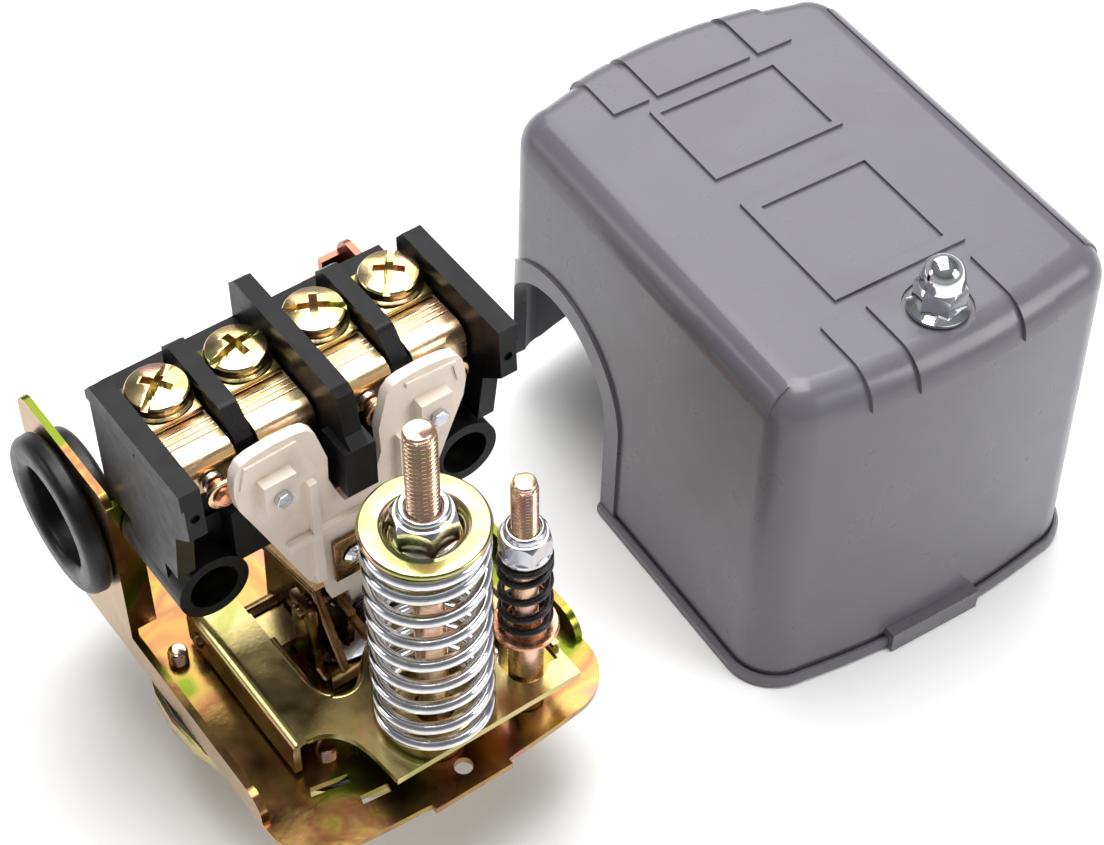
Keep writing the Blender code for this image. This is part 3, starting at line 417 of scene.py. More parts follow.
def turn_about(solid, centre_x, centre_y, degrees):
    """The solid turned about an upright axis."""
    spin = (Matrix.Translation((centre_x, centre_y, 0)) @ Matrix.Rotation(math.radians(degrees), 4, "Z")
            @ Matrix.Translation((-centre_x, -centre_y, 0)))
    return [tuple(spin @ Vector(point)) for point in solid[0]], solid[1], solid[2]


def temporary(solids):
    mesh = bpy.data.meshes.new("temporary")
    shape = bmesh.new()
    for points, faces, marked in solids:
        made = [shape.verts.new(Vector(point) * MM) for point in points]
        for number, face in enumerate(faces):
            shape.faces.new([made[index] for index in face]).material_index = int(number in marked)
    bmesh.ops.recalc_face_normals(shape, faces=shape.faces)
    shape.to_mesh(mesh)
    shape.free()
    for slot in ("temporary_face", "temporary_edge"):
        mesh.materials.append(bpy.data.materials.get(slot) or bpy.data.materials.new(slot))
    made = bpy.data.objects.new("temporary", mesh)
    bpy.context.scene.collection.objects.link(made)
    return made


def baked(solids, steps, bevel, segments, angle):
    """Mesh of the solids after the Boolean steps and an edge bevel; the helpers are removed."""
    target = temporary(solids)
    helpers = [target]
    for operation, solid in steps:
        operand = temporary([solid])
        helpers.append(operand)
        modifier = target.modifiers.new("step", "BOOLEAN")
        modifier.operation = operation
        modifier.solver = "EXACT"
        modifier.material_mode = "INDEX"
        modifier.object = operand
    if bevel:
        weld = target.modifiers.new("weld", "WELD")
        weld.merge_threshold = 0.00001
        edge = target.modifiers.new("bevel", "BEVEL")
        edge.width = bevel * MM
        edge.segments = segments
        edge.limit_method = "ANGLE"
        edge.angle_limit = math.radians(angle)
        edge.miter_outer = "MITER_ARC"
        edge.harden_normals = False
    bpy.context.view_layer.update()
    depsgraph = bpy.context.evaluated_depsgraph_get()
    mesh = bpy.data.meshes.new_from_object(target.evaluated_get(depsgraph))
    for helper in helpers:
        old = helper.data
        bpy.data.objects.remove(helper, do_unlink=True)
        bpy.data.meshes.remove(old)
    return mesh


def common(first, second):
    """The solid that both solids share, as points and faces."""
    mesh = baked([first], [("INTERSECT", second)], 0, 1, 30)
    points = [tuple(vertex.co / MM) for vertex in mesh.vertices]
    faces = [list(face.vertices) for face in mesh.polygons]
    bpy.data.meshes.remove(mesh)
    return points, faces, set()


def build(name, look, body, solids, joins=(), cuts=(), bevel=0.0, segments=2, angle=28, smooth=35,
          stands_for=None, edge_look=None, upper_look=None, painted_sheen_from=0.0, extras=(), place=LIFT):
    """One finished piece for some CAD nodes. It rides on a CAD body, or on none when no body is given."""
    steps = [("UNION", solid) for solid in joins] + [("DIFFERENCE", solid) for solid in cuts]
    mesh = baked(solids, steps, bevel, segments, angle)
    if extras:
        added = baked(extras, (), 0, segments, angle)
        shape = bmesh.new()
        shape.from_mesh(mesh)
        shape.from_mesh(added)
        shape.to_mesh(mesh)
        shape.free()
        bpy.data.meshes.remove(added)
    mesh.name = name
    mesh.transform(place)
    mesh.materials.clear()
    mesh.materials.append(MATERIALS[look])
    mesh.materials.append(MATERIALS[edge_look or look])
    # Faces of the first material lying further out than the given distance get a third material, used as
    # painted sheen on outward faces
    if upper_look:
        mesh.materials.append(MATERIALS[upper_look])
        for face in mesh.polygons:
            if face.material_index == 0 and abs(face.center.x) > painted_sheen_from * MM:
                face.material_index = 2
    mesh.shade_smooth()
    mesh.set_sharp_from_angle(angle=math.radians(smooth))
    piece = bpy.data.objects.new(name, mesh)
    bpy.context.scene.collection.objects.link(piece)
    if bevel:
        normals = piece.modifiers.new("normals", "WEIGHTED_NORMAL")
        normals.keep_sharp = True
    if body:
        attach(piece, body)
    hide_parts(*(stands_for or [name.removesuffix("_look")]))
    return piece


def dress(look, bevel, *nodes):
    """CAD nodes shown as they are, with their edges broken and a finished material."""
    for name in nodes:
        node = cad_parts[name]
        for index in range(len(node.data.materials)):
            node.data.materials[index] = MATERIALS[look]
        weld = node.modifiers.new("weld", "WELD")
        weld.merge_threshold = 0.00001
        planar = node.modifiers.new("planar", "DECIMATE")
        planar.decimate_type = "DISSOLVE"
        planar.angle_limit = math.radians(1.0)
        edge = node.modifiers.new("bevel", "BEVEL")
        edge.width = bevel * MM
        edge.segments = 2
        edge.limit_method = "ANGLE"
        edge.angle_limit = math.radians(40)
        smooth = [True] * len(node.data.polygons)
        node.data.polygons.foreach_set("use_smooth", smooth)
        node.data.set_sharp_from_angle(angle=math.radians(35))


# Base frame: floor, end plates, lips, flanges and ears

def rounded_outline(half_width, front, rear, corner, front_bow, rear_bow, corner_steps=10, edge_steps=14):
    """Anticlockwise plan outline with bowed front and rear edges and rounded corners."""
    straight = half_width - corner
    outline = []
    for edge, direction, bow in ((front, -1, front_bow), (rear, 1, rear_bow)):
        turn = [math.pi / 2 * step / corner_steps for step in range(corner_steps + 1)]
        bend = [(straight + corner * math.cos(a), edge - direction * corner * (1 - math.sin(a)))
                for a in turn]
        outline += [(direction * x, y) for x, y in bend]
        for step in range(1, edge_steps):
            across = 1 - 2 * step / edge_steps
            outline.append((direction * straight * across, edge + direction * bow * (1 - across ** 2)))
        outline += [(-direction * x, y) for x, y in reversed(bend)]
    return outline


def base_outline():
    """Bowed front with its centre tab, straight sides and rear."""
    full = rounded_outline(BASE_HALF_WIDTH, BASE_FRONT_Y, BASE_REAR_Y, BASE_CORNER, BASE_BOW, BASE_BOW)
    front = [point for point in full if point[1] < 0 and abs(point[0]) > TAB_HALF_WIDTH + 0.5]
    left = [point for point in front if point[0] < 0]
    right = [point for point in front if point[0] > 0]
    step_y = BASE_FRONT_Y - BASE_BOW
    tab = [(-TAB_HALF_WIDTH, step_y), (-TAB_HALF_WIDTH, step_y - TAB_DEPTH)]
    tab += [(TAB_HALF_WIDTH, step_y - TAB_DEPTH), (TAB_HALF_WIDTH, step_y)]
    return left + tab + right + [(BASE_HALF_WIDTH, BASE_REAR_Y), (-BASE_HALF_WIDTH, BASE_REAR_Y)]


def span(a, b):
    return min(a, b), max(a, b)


base_joins = []
for side, rear_top in ((-1, 24.0), (1, 41.0)):
    outer = side * BASE_HALF_WIDTH
    sheet_x = span(outer, outer - side * SHEET)
    plate = [(PLATE_FRONT_Y, -SHEET), (BASE_REAR_Y, -SHEET)]
    plate += arc(BASE_REAR_Y - 4, PLATE_HEIGHT - 4, 4, 0, 90)
    plate += arc(PLATE_FRONT_Y + 3, PLATE_HEIGHT - 3, 3, 90, 180)
    lip = [(PLATE_FRONT_Y + SHEET, -SHEET), (PLATE_FRONT_Y + SHEET, LIP_HEIGHT)]
    lip += arc(LIP_FRONT_Y + 5, LIP_HEIGHT - 5, 5, 90, 180) + [(LIP_FRONT_Y, -SHEET)]
    base_joins.append(prism(plate, *sheet_x, "X"))
    base_joins.append(prism(lip, *sheet_x, "X"))
    front_x = span(side * (BASE_HALF_WIDTH - 5.5), outer)
    base_joins.append(prism([(front_x[0], LIP_HEIGHT + 2), (front_x[1], LIP_HEIGHT + 2), (front_x[1], 37.0),
                             (front_x[0], 37.0)], PLATE_FRONT_Y, PLATE_FRONT_Y + SHEET, "Y"))
    lug_x = span(side * 20.5, outer)
    base_joins.append(prism([(lug_x[0], SLEEVE_Z - 6.5), (lug_x[1], SLEEVE_Z - 6.5),
                             (lug_x[1], SLEEVE_Z + 6.5), (lug_x[0], SLEEVE_Z + 6.5)],
                            PLATE_FRONT_Y, PLATE_FRONT_Y + SHEET, "Y"))
    reach = side * (BASE_HALF_WIDTH - 10.0)
    rear = [(outer, -SHEET), (outer, rear_top), (outer - side * 6.0, rear_top),
            (outer - side * 6.0, rear_top - 4.0), (reach, rear_top - 4.0), (reach, -SHEET)]
    base_joins.append(prism(rear, BASE_REAR_Y - SHEET, BASE_REAR_Y, "Y"))
    ear_x = span(side * 20.8, side * 22.3)
    ear = [(LEVER_PIVOT[0] + 4, -SHEET)] + arc(*LEVER_PIVOT, 4.0, 0, 180, 16) + [(LEVER_PIVOT[0] - 4, -SHEET)]
    base_joins.append(prism(ear, *ear_x, "X"))
base_cuts = [drill(0, 11.0, 11.0, -4, 2), drill(0, RANGE_Y, 2.8, -4, 2), drill(DIFF_X, DIFF_Y, 2.4, -4, 2),
             drill(0.8, -30.8, 1.8, -4, 2),
             prism([(-25.5, -20.2), (-18.0, -21.6), (-17.2, -19.8), (-24.7, -18.4)], -4, 2),
             prism([(-18.6, -27.0), (-13.0, -27.6), (-12.6, -25.8), (-18.2, -25.2)], -4, 2)]
for side in (-1, 1):
    base_cuts.append(drill(GROMMET_Y, GROMMET_Z, 13.9, side * 38 - 5, side * 38 + 5, "X", 64))
    base_cuts.append(drill(*LEVER_PIVOT, 1.8, side * 18, side * 24, "X"))
    base_cuts.append(drill(side * SLEEVE_X, SLEEVE_Z, 2.3, 24, 30, "Y"))
# The outward faces of the end plates and lips get the lighter zinc as painted sheen; their inner faces keep
# the base zinc
build("base_frame_look", "base_zinc", "mechanism", [prism(base_outline(), -SHEET, 0)], base_joins, base_cuts,
      bevel=0.3, edge_look="zinc_edge", upper_look="plate_zinc", painted_sheen_from=BASE_HALF_WIDTH - 0.2)


# Flange screws, threaded up through the base

for number in range(5):
    turn = math.radians(90 + 72 * number)
    spot = (31.0 * math.cos(turn), 11.0 + 31.0 * math.sin(turn), 0)
    screw_head = turned([(0, -9.0), (2.8, -9.0), (3.8, -8.0), (3.8, -6.7), (1.6, -6.7), (1.6, -2.0),
                         (0, -2.0)], spot)
    build(f"flange_screw_{number + 1}_look", "stud_zinc", "mechanism", [
        screw_head, thread(spot, 2.0, 0.7, -4.0, 3.1, around=28)], smooth=80)


# Main lever and toggle lever

def eased(points, rounds=3):
    """The open path with its corners cut off again and again, ends kept."""
    for _ in range(rounds):
        cut = [points[0]]
        for start, end in zip(points, points[1:]):
            cut += [tuple(a * (1 - part) + b * part for a, b in zip(start, end)) for part in (0.25, 0.75)]
        points = cut + [points[-1]]
    return points


def window_edge():
    return [(WINDOW_HALF_WIDTH, 23.0), (WINDOW_HALF_WIDTH, -1.8), (3.0, -1.8), (-1.2, -3.4), (-4.5, -6.4),
            (-7.2, -9.8), (-9.7, -11.4), (-13.0, -10.8), (-15.6, -8.0), (-16.3, -4.0), (-16.3, 23.0)]


def bend_section(side):
    """Rounded right-angle bend between the lever's top sheet and its side flange."""
    outer = LEVER_HALF_WIDTH
    section = [(outer, 1.3)] + arc(outer - 2.4, LEVER_TOP - 2.4, 2.4, 0, 90)
    section += [(outer - 4.0, LEVER_TOP), (outer - 4.0, LEVER_TOP - SHEET)]
    section += arc(outer - 2.4, LEVER_TOP - 2.4, 0.9, 90, 0) + [(outer - SHEET, 1.3)]
    return [(side * x, z) for x, z in section]


notch = arc(DIFF_X, DIFF_Y, 3.9, -30, -180, 16)
lever_outline = [(-22.5, 23.0)]
lever_outline += eased([(-22.5, -15.2), (-19.0, -16.0), (-16.6, -18.4), (-14.8, -22.5), (-14.0, -32.0)])
lever_outline += [(26.4, -32.0), (26.4, -21.5), (24.9, -21.5), (24.9, -26.95)]
lever_outline += notch + [(15.1, -19.0), (18.0, -14.5), (22.5, -11.6), (22.5, 23.0)] + eased(window_edge())
lever_joins = [prism(bend_section(-1), -15.0, 23.0, "Y", "caps"),
               prism(bend_section(1), -11.0, 23.0, "Y", "caps"),
               box(25.1, 26.4, -25.2, -21.5, LEVER_TOP - SHEET, LEVER_TOP + 1.8),
               turned([(3.9, 8.5), (7.6, 8.5), (7.6, 10.4), (7.0, 11.0), (3.9, 11.0)], (0, RANGE_Y, 0)),
               box(-17.5, 16.5, 7.0, 15.0, 5.9, 7.4), box(-17.5, -16.0, 7.0, 15.0, 5.9, LEVER_TOP),
               box(15.0, 16.5, 7.0, 15.0, 5.9, LEVER_TOP)]
lever_cuts = [drill(0, RANGE_Y, 3.9, 4, 14), drill(*LEVER_PIVOT, 1.8, -27, 27, "X")]
build("main_lever_look", "yellow_zinc", "lever", [prism(lever_outline, LEVER_TOP - SHEET, LEVER_TOP)],
      lever_joins, lever_cuts, bevel=0.3, edge_look="zinc_edge")
rim_path = [(x + (0.5 if x < 0 else -0.5) * (abs(x) > 14), y, LEVER_TOP - 0.75)
            for x, y in eased(window_edge())[8:-8]]
build("window_rim", "yellow_zinc", "lever", [tube(rim_path, 0.85)], stands_for=["main_lever"])
toggle_left = [(22.0, 2.0), (21.0, 19.2), (2.5, 24.2), (-6.4, 9.6), (-4.6, 8.9), (15.6, 8.9), (15.6, 2.0)]
toggle_right = [(22.0, 2.0), (21.0, 18.0), (3.8, 22.4), (-4.3, 22.4), (-2.6, 11.4), (-0.8, 8.9), (15.6, 8.9),
                (15.6, 2.0)]
build("toggle_lever_look", "dark_zinc", "lever", [prism(toggle_left, -8.7, -7.5, "X")], [
    prism(toggle_right, -5.3, -4.1, "X"),
    prism([(20.8, 18.0), (21.0, 19.2), (2.5, 24.2), (2.5, 22.6)], -8.1, -4.7, "X"),
    box(-8.1, -4.7, 20.9, 22.0, 2.0, 12.0),
    box(-5.3, -4.1, -8.9, -4.0, 19.2, 21.2), box(-5.3, 5.8, -8.9, -7.9, 19.2, 21.2)], [
    drill(*LEVER_PIVOT, 1.8, -12, 0, "X"), drill(*CARRIER_PIVOT, 2.5, -12, 0, "X"),
    drill(8.0, 9.0, 3.6, -10, -6.6, "X")], bevel=0.22, edge_look="zinc_edge", extras=[
        tube([(-8.9, y, z) for y, z in toggle_left[1:4]], 0.5),
        tube([(-5.5, y, z) for y, z in toggle_right[2:5]], 0.4)])
for side, label in ((-1, "left"), (1, "right")):
    build(f"toggle_spring_{label}_look", "black_steel", "lever", [
        coil((1.3 + side * 2.6, 0, 20.2), 2.3, 0.45, -7.6, -1.5, 5.5, "Y", 28, 10)], smooth=80)


# Range spring, its stud, cup and nut

range_centre = (0, RANGE_Y, 0)
range_stud = turned([(0, -1.3), (2.5, -1.3), (2.5, 0.3), (5.0, 0.3), (5.0, 2.3), (2.9, 2.3), (2.9, 44.6),
                     (0, 44.6)], range_centre)
build("range_stud_look", "stud_zinc", "mechanism", [range_stud, thread(range_centre, 3.0, 1.0, 44.0, 86.9)],
      smooth=80)
spring = build("range_spring_look", "spring_steel", None, [
    coil(range_centre, 11.3, 1.2, LEVER_TOP + 0.3, RANGE_CUP_RIM - 1.5, 9.0)], smooth=80)
cup_profile = [(3.5, 59.0), (6.2, 59.0)] + arc(6.2, 60.6, 1.6, -90, -20, 5)
cup_profile += [(8.4, 62.2), (11.0, 62.2)] + arc(10.9, 62.85, 0.62, -80, 90, 6)
cup_profile += [(8.6, 63.45)] + arc(8.3, 61.8, 1.6, 90, 160, 5) + [(6.3, 60.5), (5.6, 60.2), (3.5, 60.2)]
build("range_spring_cup_look", "cup_zinc", "spring_cup", [
    turned(cup_profile, range_centre, steps=96)], smooth=50)


def locknut(name, body, x, y, seat, flats, height, bore, collar):
    """Hexagon nut with chamfered corners, a round seat flange and an insert collar."""
    corner = flats / math.sqrt(3)
    limits = turned([(bore, seat + 0.5), (corner - 0.2, seat + 0.5), (corner + 0.1, seat + 0.9),
                     (corner + 0.1, seat + height - 1.1), (flats / 2 - 0.1, seat + height),
                     (bore, seat + height)],
                    (x, y, 0))
    flange_radius = flats * 0.56
    flange = turned([(bore, seat), (flange_radius - 0.2, seat), (flange_radius, seat + 0.3),
                     (flange_radius - 0.1, seat + 0.8), (flange_radius - 1.0, seat + 1.3),
                     (bore, seat + 1.3)],
                    (x, y, 0))
    top = seat + height
    ring = [(bore, top - 0.5), (collar, top - 0.5), (collar, top + 0.9)]
    ring += arc(collar - 0.7, top + 0.9, 0.7, 0, 90, 5) + [(bore + 0.3, top + 1.5), (bore, top + 1.2)]
    build(name + "_look", "blue_zinc", body, [
        common(plain(prism(hexagon(x, y, flats), seat, top + 1)), limits)],
          [flange, turned(ring, (x, y, 0))], bevel=0.12, angle=24)


locknut("range_nut", "range_locknut", 0, RANGE_Y, 60.5, 10.6, 6.2, 3.15, 4.7)


# Differential spring, its stud, seat and nut

diff_centre = (DIFF_X, DIFF_Y, 0)
diff_stud = turned([(0, -1.3), (2.1, -1.3), (2.1, 0.3), (3.3, 0.3), (3.3, DIFF_SEAT_Z - 0.3),
                    (2.4, DIFF_SEAT_Z - 0.3), (2.4, 44.6), (0, 44.6)], diff_centre)
build("differential_stud_look", "stud_zinc", "mechanism", [
    diff_stud, thread(diff_centre, 2.5, 0.8, 44.0, 62.4),
    turned([(0, 62.3), (2.1, 62.3), (2.1, 62.8), (1.8, 63.0), (0, 63.0)], diff_centre)], smooth=80)
build("differential_spring_seat_look", "copper", "mechanism", [turned([
    (2.8, 22.6), (5.9, 22.6), (6.2, 22.9), (6.2, 23.5), (5.9, 23.8), (2.8, 23.8)], diff_centre)])
diff_spring = build("differential_spring_look", "black_steel", None, [
    coil(diff_centre, 5.1, 0.72, DIFF_SEAT_Z + 1.5, DIFF_SPRING_TOP, 5.0)], smooth=80)
locknut("differential_nut", "differential_locknut", DIFF_X, DIFF_Y, 44.3, 8.6, 5.2, 2.65, 3.8)


# Contact carrier

half = [(7.0, 25), (7.6, 31.0), (9.6, 31.2), (11.4, 33.6), (19.0, 52.0), (22.8, 61.0)]
half += [(23.4, 64.5), (23.3, 67.5), (22.8, 70.0), (21.6, 71.7), (19.5, 72.5), (15.0, 73.0), (10.6, 72.8),
         (8.6, 72.2), (7.2, 70.6), (5.2, 63.0), (5.4, 57.4), (3.6, 52.0), (2.6, 49.8)]
carrier_outline = half + [(-x, z) for x, z in reversed(half)]
carrier_back = CARRIER_FRONT_Y + 2.2
carrier_joins = []
for side in (-1, 1):
    x = side * WING_X
    carrier_joins.append(box(x - 3.2, x + 3.2, CARRIER_FRONT_Y - 2.4, CARRIER_FRONT_Y + 1, CONTACT_Z - 2.8,
                             CONTACT_Z + 4.0))
    carrier_joins.append(box(*span(side * 8.4, side * 10.0), CARRIER_FRONT_Y - 1.5, CARRIER_FRONT_Y + 0.6,
                             33.4, 60.0))
    wing = [(side * 11.0, 70.4), (side * 20.6, 70.2), (side * 21.4, 66.0), (side * 22.4, 66.2),
            (side * 21.2, 71.0), (side * 11.0, 71.5)]
    carrier_joins.append(plain(prism(wing, CARRIER_FRONT_Y - 0.5, CARRIER_FRONT_Y + 0.5, "Y")))
carrier_joins.append(box(-15.0, 15.0, CARRIER_FRONT_Y - 1.3, CARRIER_FRONT_Y + 0.6, 45.2, 46.8))
carrier_joins += [rod(*CARRIER_PIVOT, 3.4, -3.2, 8, "X"), box(-3.2, 8, CARRIER_FRONT_Y, 6.4, 20.0, 27.0),
                  box(-3.2, 6, 2.8, 5.2, 11.6, 18.0)]
build("contact_carrier_look", "beige_moulding", "carrier", [
    plain(prism(carrier_outline, CARRIER_FRONT_Y, carrier_back, "Y"))], carrier_joins,
    [rod(*CARRIER_PIVOT, 1.8, -15, 15, "X"), rod(-2.2, 36.0, 1.6, -4, 3, "Y"),
     *[rod(side * WING_X, CONTACT_Z, 1.5, -6, 6, "Y") for side in (-1, 1)]], bevel=0.45, segments=3)
dress("dark_zinc", 0.2, "carrier_pivot_plate")
build("bracket_rivet_look", "spring_steel", "carrier", [turned([
    (0, -3.9), (1.0, -3.8), (1.8, -3.4), (2.4, -2.8), (1.3, -2.8), (1.3, 1.3), (2.2, 1.3), (2.2, 2.2),
    (0, 2.2)],
    (-2.2, 0, 36.0), "Y", 32)])
dress("brass", 0.2, "moving_bridge_left", "moving_bridge_right")
for side, label in ((-1, "left"), (1, "right")):
    pin = plain(prism(hexagon(side * WING_X, CONTACT_Z, 3.0), CARRIER_FRONT_Y - 3.7,
                      CARRIER_FRONT_Y - 1.4, "Y"))
    build(f"contact_pin_{label}_look", "blue_zinc", "carrier", [
        rod(side * WING_X, CONTACT_Z, 1.15, -4.4, 4.2, "Y")], [pin], bevel=0.15)


# Terminal block

def barrier(outline, x):
    return plain(prism(outline, x - BARRIER_HALF, x + BARRIER_HALF, "X"))


end_shape = [(30, 44), (30, 70.5), (28, BARRIER_TOP), (-2.2, BARRIER_TOP), (-2.8, 62), (3, 57), (5, 44)]
inner_shape = [(32.5, 50), (32.5, 69), (30.5, 71), (13.5, 71), (12, 70.4), (8.2, 66), (8.2, 50)]
centre_shape = [(35.5, 44), (35.5, 73), (33.5, 75), (2.0, 75), (0.3, 74), (-1.5, 66), (-3.5, 64), (-3.5, 53),
                (5, 48), (11.0, 46)]
block_joins = [barrier(shape, x) for shape, x in zip(
    (end_shape, inner_shape, centre_shape, inner_shape, end_shape), BARRIER_X)]
block_joins.append(box(-3.1, 3.1, -3.5, 4.0, 53, 64))
block_joins.append(box(-21.5, 21.5, 5.2, 11.0, 40, 53))
block_cuts = [rod(0, 28, 17.5, 2, 11.2, "Y", 80)]
for side in (-1, 1):
    block_joins.append(rod(side * SLEEVE_X, SLEEVE_Z, 7.0, 5.0, 25.6, "Y", 64))
    block_joins.append(box(*span(side * 20.0, side * 33.2), 9.5, 21.5, SLEEVE_Z, 50))
    end_x = side * (BARRIER_X[-1] + BARRIER_HALF)
    band = [(30, 68.6), (30, 70.5), (28, BARRIER_TOP), (-2.2, BARRIER_TOP), (-2.4, 69.4), (13.6, 69.4),
            (13.6, 68.6)]
    block_joins.append(plain(prism(band, *span(end_x - side * 0.5, end_x + side * 0.5), "X")))
    block_cuts.append(rod(side * SLEEVE_X, SLEEVE_Z, 4.8, 3, 14, "Y", 64))
    block_cuts.append(rod(side * SLEEVE_X, SLEEVE_Z, 2.3, 10, 30, "Y"))
    block_cuts.append(rod(side * BARRIER_X[-1], 66.5, 0.9, -4, -1.9, "Y", 24))
block_cuts += [rod(x, TERMINAL_Y, 2.3, 50, 66) for x in TERMINAL_X]
build("terminal_block_look", "black_moulding", "mechanism", [box(-29, 29, 10.4, 35, 44, 65.2)], block_joins,
      block_cuts, bevel=0.4, segments=3)


# Terminals

strap_top = STRAP_TOP
roll = 3.2
strap_profile = [(29.5, strap_top)] + arc(6.9 + roll, strap_top - roll, roll, 90, 180)
strap_profile += [(6.9, 59.6), (8.1, 59.6)]
strap_profile += arc(6.9 + roll, strap_top - roll, roll - 1.2, 180, 90) + [(29.5, strap_top - 1.2)]
head = [(0, 53.0), (2.0, 53.0), (2.0, HEAD_SEAT), (6.15, HEAD_SEAT), (6.25, HEAD_SEAT + 0.3),
        (5.7, HEAD_SEAT + 0.5)]
head += arc(HEAD_RADIUS - 1.2, HEAD_SEAT + 1.6, 1.2, 0, 55, 6)
head += [(3.6, HEAD_SEAT + 3.0), (2.4, HEAD_SEAT + 3.3), (1.2, HEAD_SEAT + 3.45), (0, HEAD_SEAT + 3.5)]
for number, x in enumerate(TERMINAL_X):
    label = str(number + 1)
    ribs = [rod(y, strap_top - 0.12, 0.4, x - 5.3, x + 5.3, "X", 20) for y in (12.4, 13.7, 15.0)]
    build(f"terminal_strap_{label}_look", "brass", "mechanism", [
        plain(prism(strap_profile, x - STRAP_HALF_WIDTH, x + STRAP_HALF_WIDTH, "X"))], (),
        [rod(x, TERMINAL_Y, 2.3, 60, 70)], bevel=0.2, extras=ribs)
    slot_low = HEAD_SEAT + 2.0
    cross_low = HEAD_SEAT + 0.9
    recess = [box(x - 6.5, x + 6.5, TERMINAL_Y - 0.65, TERMINAL_Y + 0.65, slot_low, HEAD_SEAT + 5),
              box(x - 2.9, x + 2.9, TERMINAL_Y - 0.75, TERMINAL_Y + 0.75, cross_low, HEAD_SEAT + 5),
              box(x - 0.75, x + 0.75, TERMINAL_Y - 2.9, TERMINAL_Y + 2.9, cross_low, HEAD_SEAT + 5)]
    build(f"terminal_screw_{label}_look", "head_zinc", f"screw_{label}", [
        turned(head, (x, TERMINAL_Y, 0))], (),
          [turn_about(solid, x, TERMINAL_Y, DRIVE_ANGLES[number]) for solid in recess], bevel=0.12)
dress("yellow_zinc", 0.2, *[f"clamp_plate_{number}" for number in range(1, 5)])
dress("silver", 0.15, *[f"fixed_contact_{number}" for number in range(1, 5)])
for number, x in enumerate(TERMINAL_X):
    build(f"moving_contact_{number + 1}_look", "copper", "carrier", [turned([
        (0, 1.0), (1.5, 1.2), (2.1, 1.8), (2.1, 2.3), (1.6, 2.4), (1.6, 3.4), (2.0, 3.6), (2.0, 4.7),
        (1.6, 5.1), (0, 5.2)], (x, 0, CONTACT_Z), "Y", 32)])


# Grommets

for side, label in ((-1, "left"), (1, "right")):
    profile = [(10.2, 31.4)] + arc(11.4, 31.9, 1.2, 180, 270, 6) + arc(13.6, 32.1, 1.4, 270, 360, 6)
    profile += [(15.0, 33.4), (14.9, 33.9), (13.6, 33.9), (13.6, 36.0), (15.4, 36.0)]
    profile += arc(15.1, 37.4, 1.3, -60, 20, 5) + arc(14.2, 38.4, 2.1, 10, 90, 8)
    profile += arc(12.2, 38.5, 2.0, 90, 180, 8)
    build(f"grommet_{label}_look", "rubber", "mechanism", [turned(
        [(radius, side * height) for radius, height in profile],
        (0, GROMMET_Y, GROMMET_Z), "X", 96)], smooth=50)


# Cover, cap nut and retainer

def cover_ring(inset, height):
    outline = rounded_outline(COVER_HALF_WIDTH - inset, COVER_FRONT_Y + inset, COVER_REAR_Y - inset,
                              COVER_CORNER - inset, COVER_FRONT_BOW, COVER_REAR_BOW)
    return [(x, y, height) for x, y in outline]


def cover_shell(inset, low, top, fillet, steps=9):
    """Drafted wall from the rim up to the flat top, with the rounded top edge."""
    rings = [cover_ring(inset, low), cover_ring(inset + COVER_DRAFT, top - fillet)]
    for step in range(1, steps + 1):
        angle = math.pi / 2 * step / steps
        rings.append(cover_ring(inset + COVER_DRAFT + fillet * (1 - math.cos(angle)),
                                top - fillet + fillet * math.sin(angle)))
    return rings


rim = [cover_ring(-RIM_REACH + 0.4, 0), cover_ring(-RIM_REACH, 0.5), cover_ring(-RIM_REACH, RIM_HEIGHT - 1.0),
       cover_ring(-RIM_REACH + 0.5, RIM_HEIGHT - 0.2), cover_ring(-RIM_REACH + 1.0, RIM_HEIGHT - 0.2),
       cover_ring(0.25, RIM_HEIGHT - 0.9), cover_ring(0.25, RIM_HEIGHT + 0.2)]
outside = skinned(rim + cover_shell(0, RIM_HEIGHT + 1.0, COVER_HEIGHT, COVER_FILLET))
proud = skinned(cover_shell(-RELIEF, 1.0, COVER_HEIGHT + RELIEF, COVER_FILLET))
slightly_proud = skinned(cover_shell(-0.3, 1.0, COVER_HEIGHT + 0.3, COVER_FILLET))
shoulder = COVER_HEIGHT - COVER_FILLET
cover_joins = [common(proud, box(x - half_width, x + half_width, y_low, y_high,
                                 shoulder + 0.5, COVER_HEIGHT + 3))
               for y_low, y_high in PAD_ROWS for x, half_width in PADS]
for side in (-1, 1):
    strip_x = span(side * 34.5, side * 60)
    cover_joins.append(common(slightly_proud, box(*strip_x, -24.0, 58.0, shoulder + 0.2, COVER_HEIGHT + 3)))
    ring = [(ARCH_Y + ARCH_RADIUS + ARCH_BAND, RIM_HEIGHT - 0.6)]
    ring += arc(ARCH_Y, ARCH_Z, ARCH_RADIUS + ARCH_BAND, 0, 180, 48)
    ring += [(ARCH_Y - ARCH_RADIUS - ARCH_BAND, RIM_HEIGHT - 0.6)]
    cover_joins.append(common(proud, plain(prism(ring, *span(side * 36, side * 60), "X"))))
tab_front = COVER_FRONT_Y - COVER_FRONT_BOW - RIM_REACH - 0.9
cover_joins.append(box(-11.0, 11.0, tab_front, COVER_FRONT_Y - COVER_FRONT_BOW + 0.6, 0, 5.2))
for y, half_depth, border in FRAMES:
    cover_joins.append(box(-FRAME_HALF_WIDTH, FRAME_HALF_WIDTH, y - half_depth, y + half_depth,
                           COVER_HEIGHT - 0.8, COVER_HEIGHT + RELIEF))
cavity = skinned([cover_ring(COVER_WALL, -2)] + cover_shell(COVER_WALL, 0, COVER_HEIGHT - COVER_WALL,
                                                           COVER_FILLET - COVER_WALL))
cover_cuts = [cavity]
for y, half_depth, border in FRAMES:
    cover_cuts.append(box(border - FRAME_HALF_WIDTH, FRAME_HALF_WIDTH - border, y - half_depth + border,
                          y + half_depth - border, COVER_HEIGHT + 0.05, COVER_HEIGHT + 3))
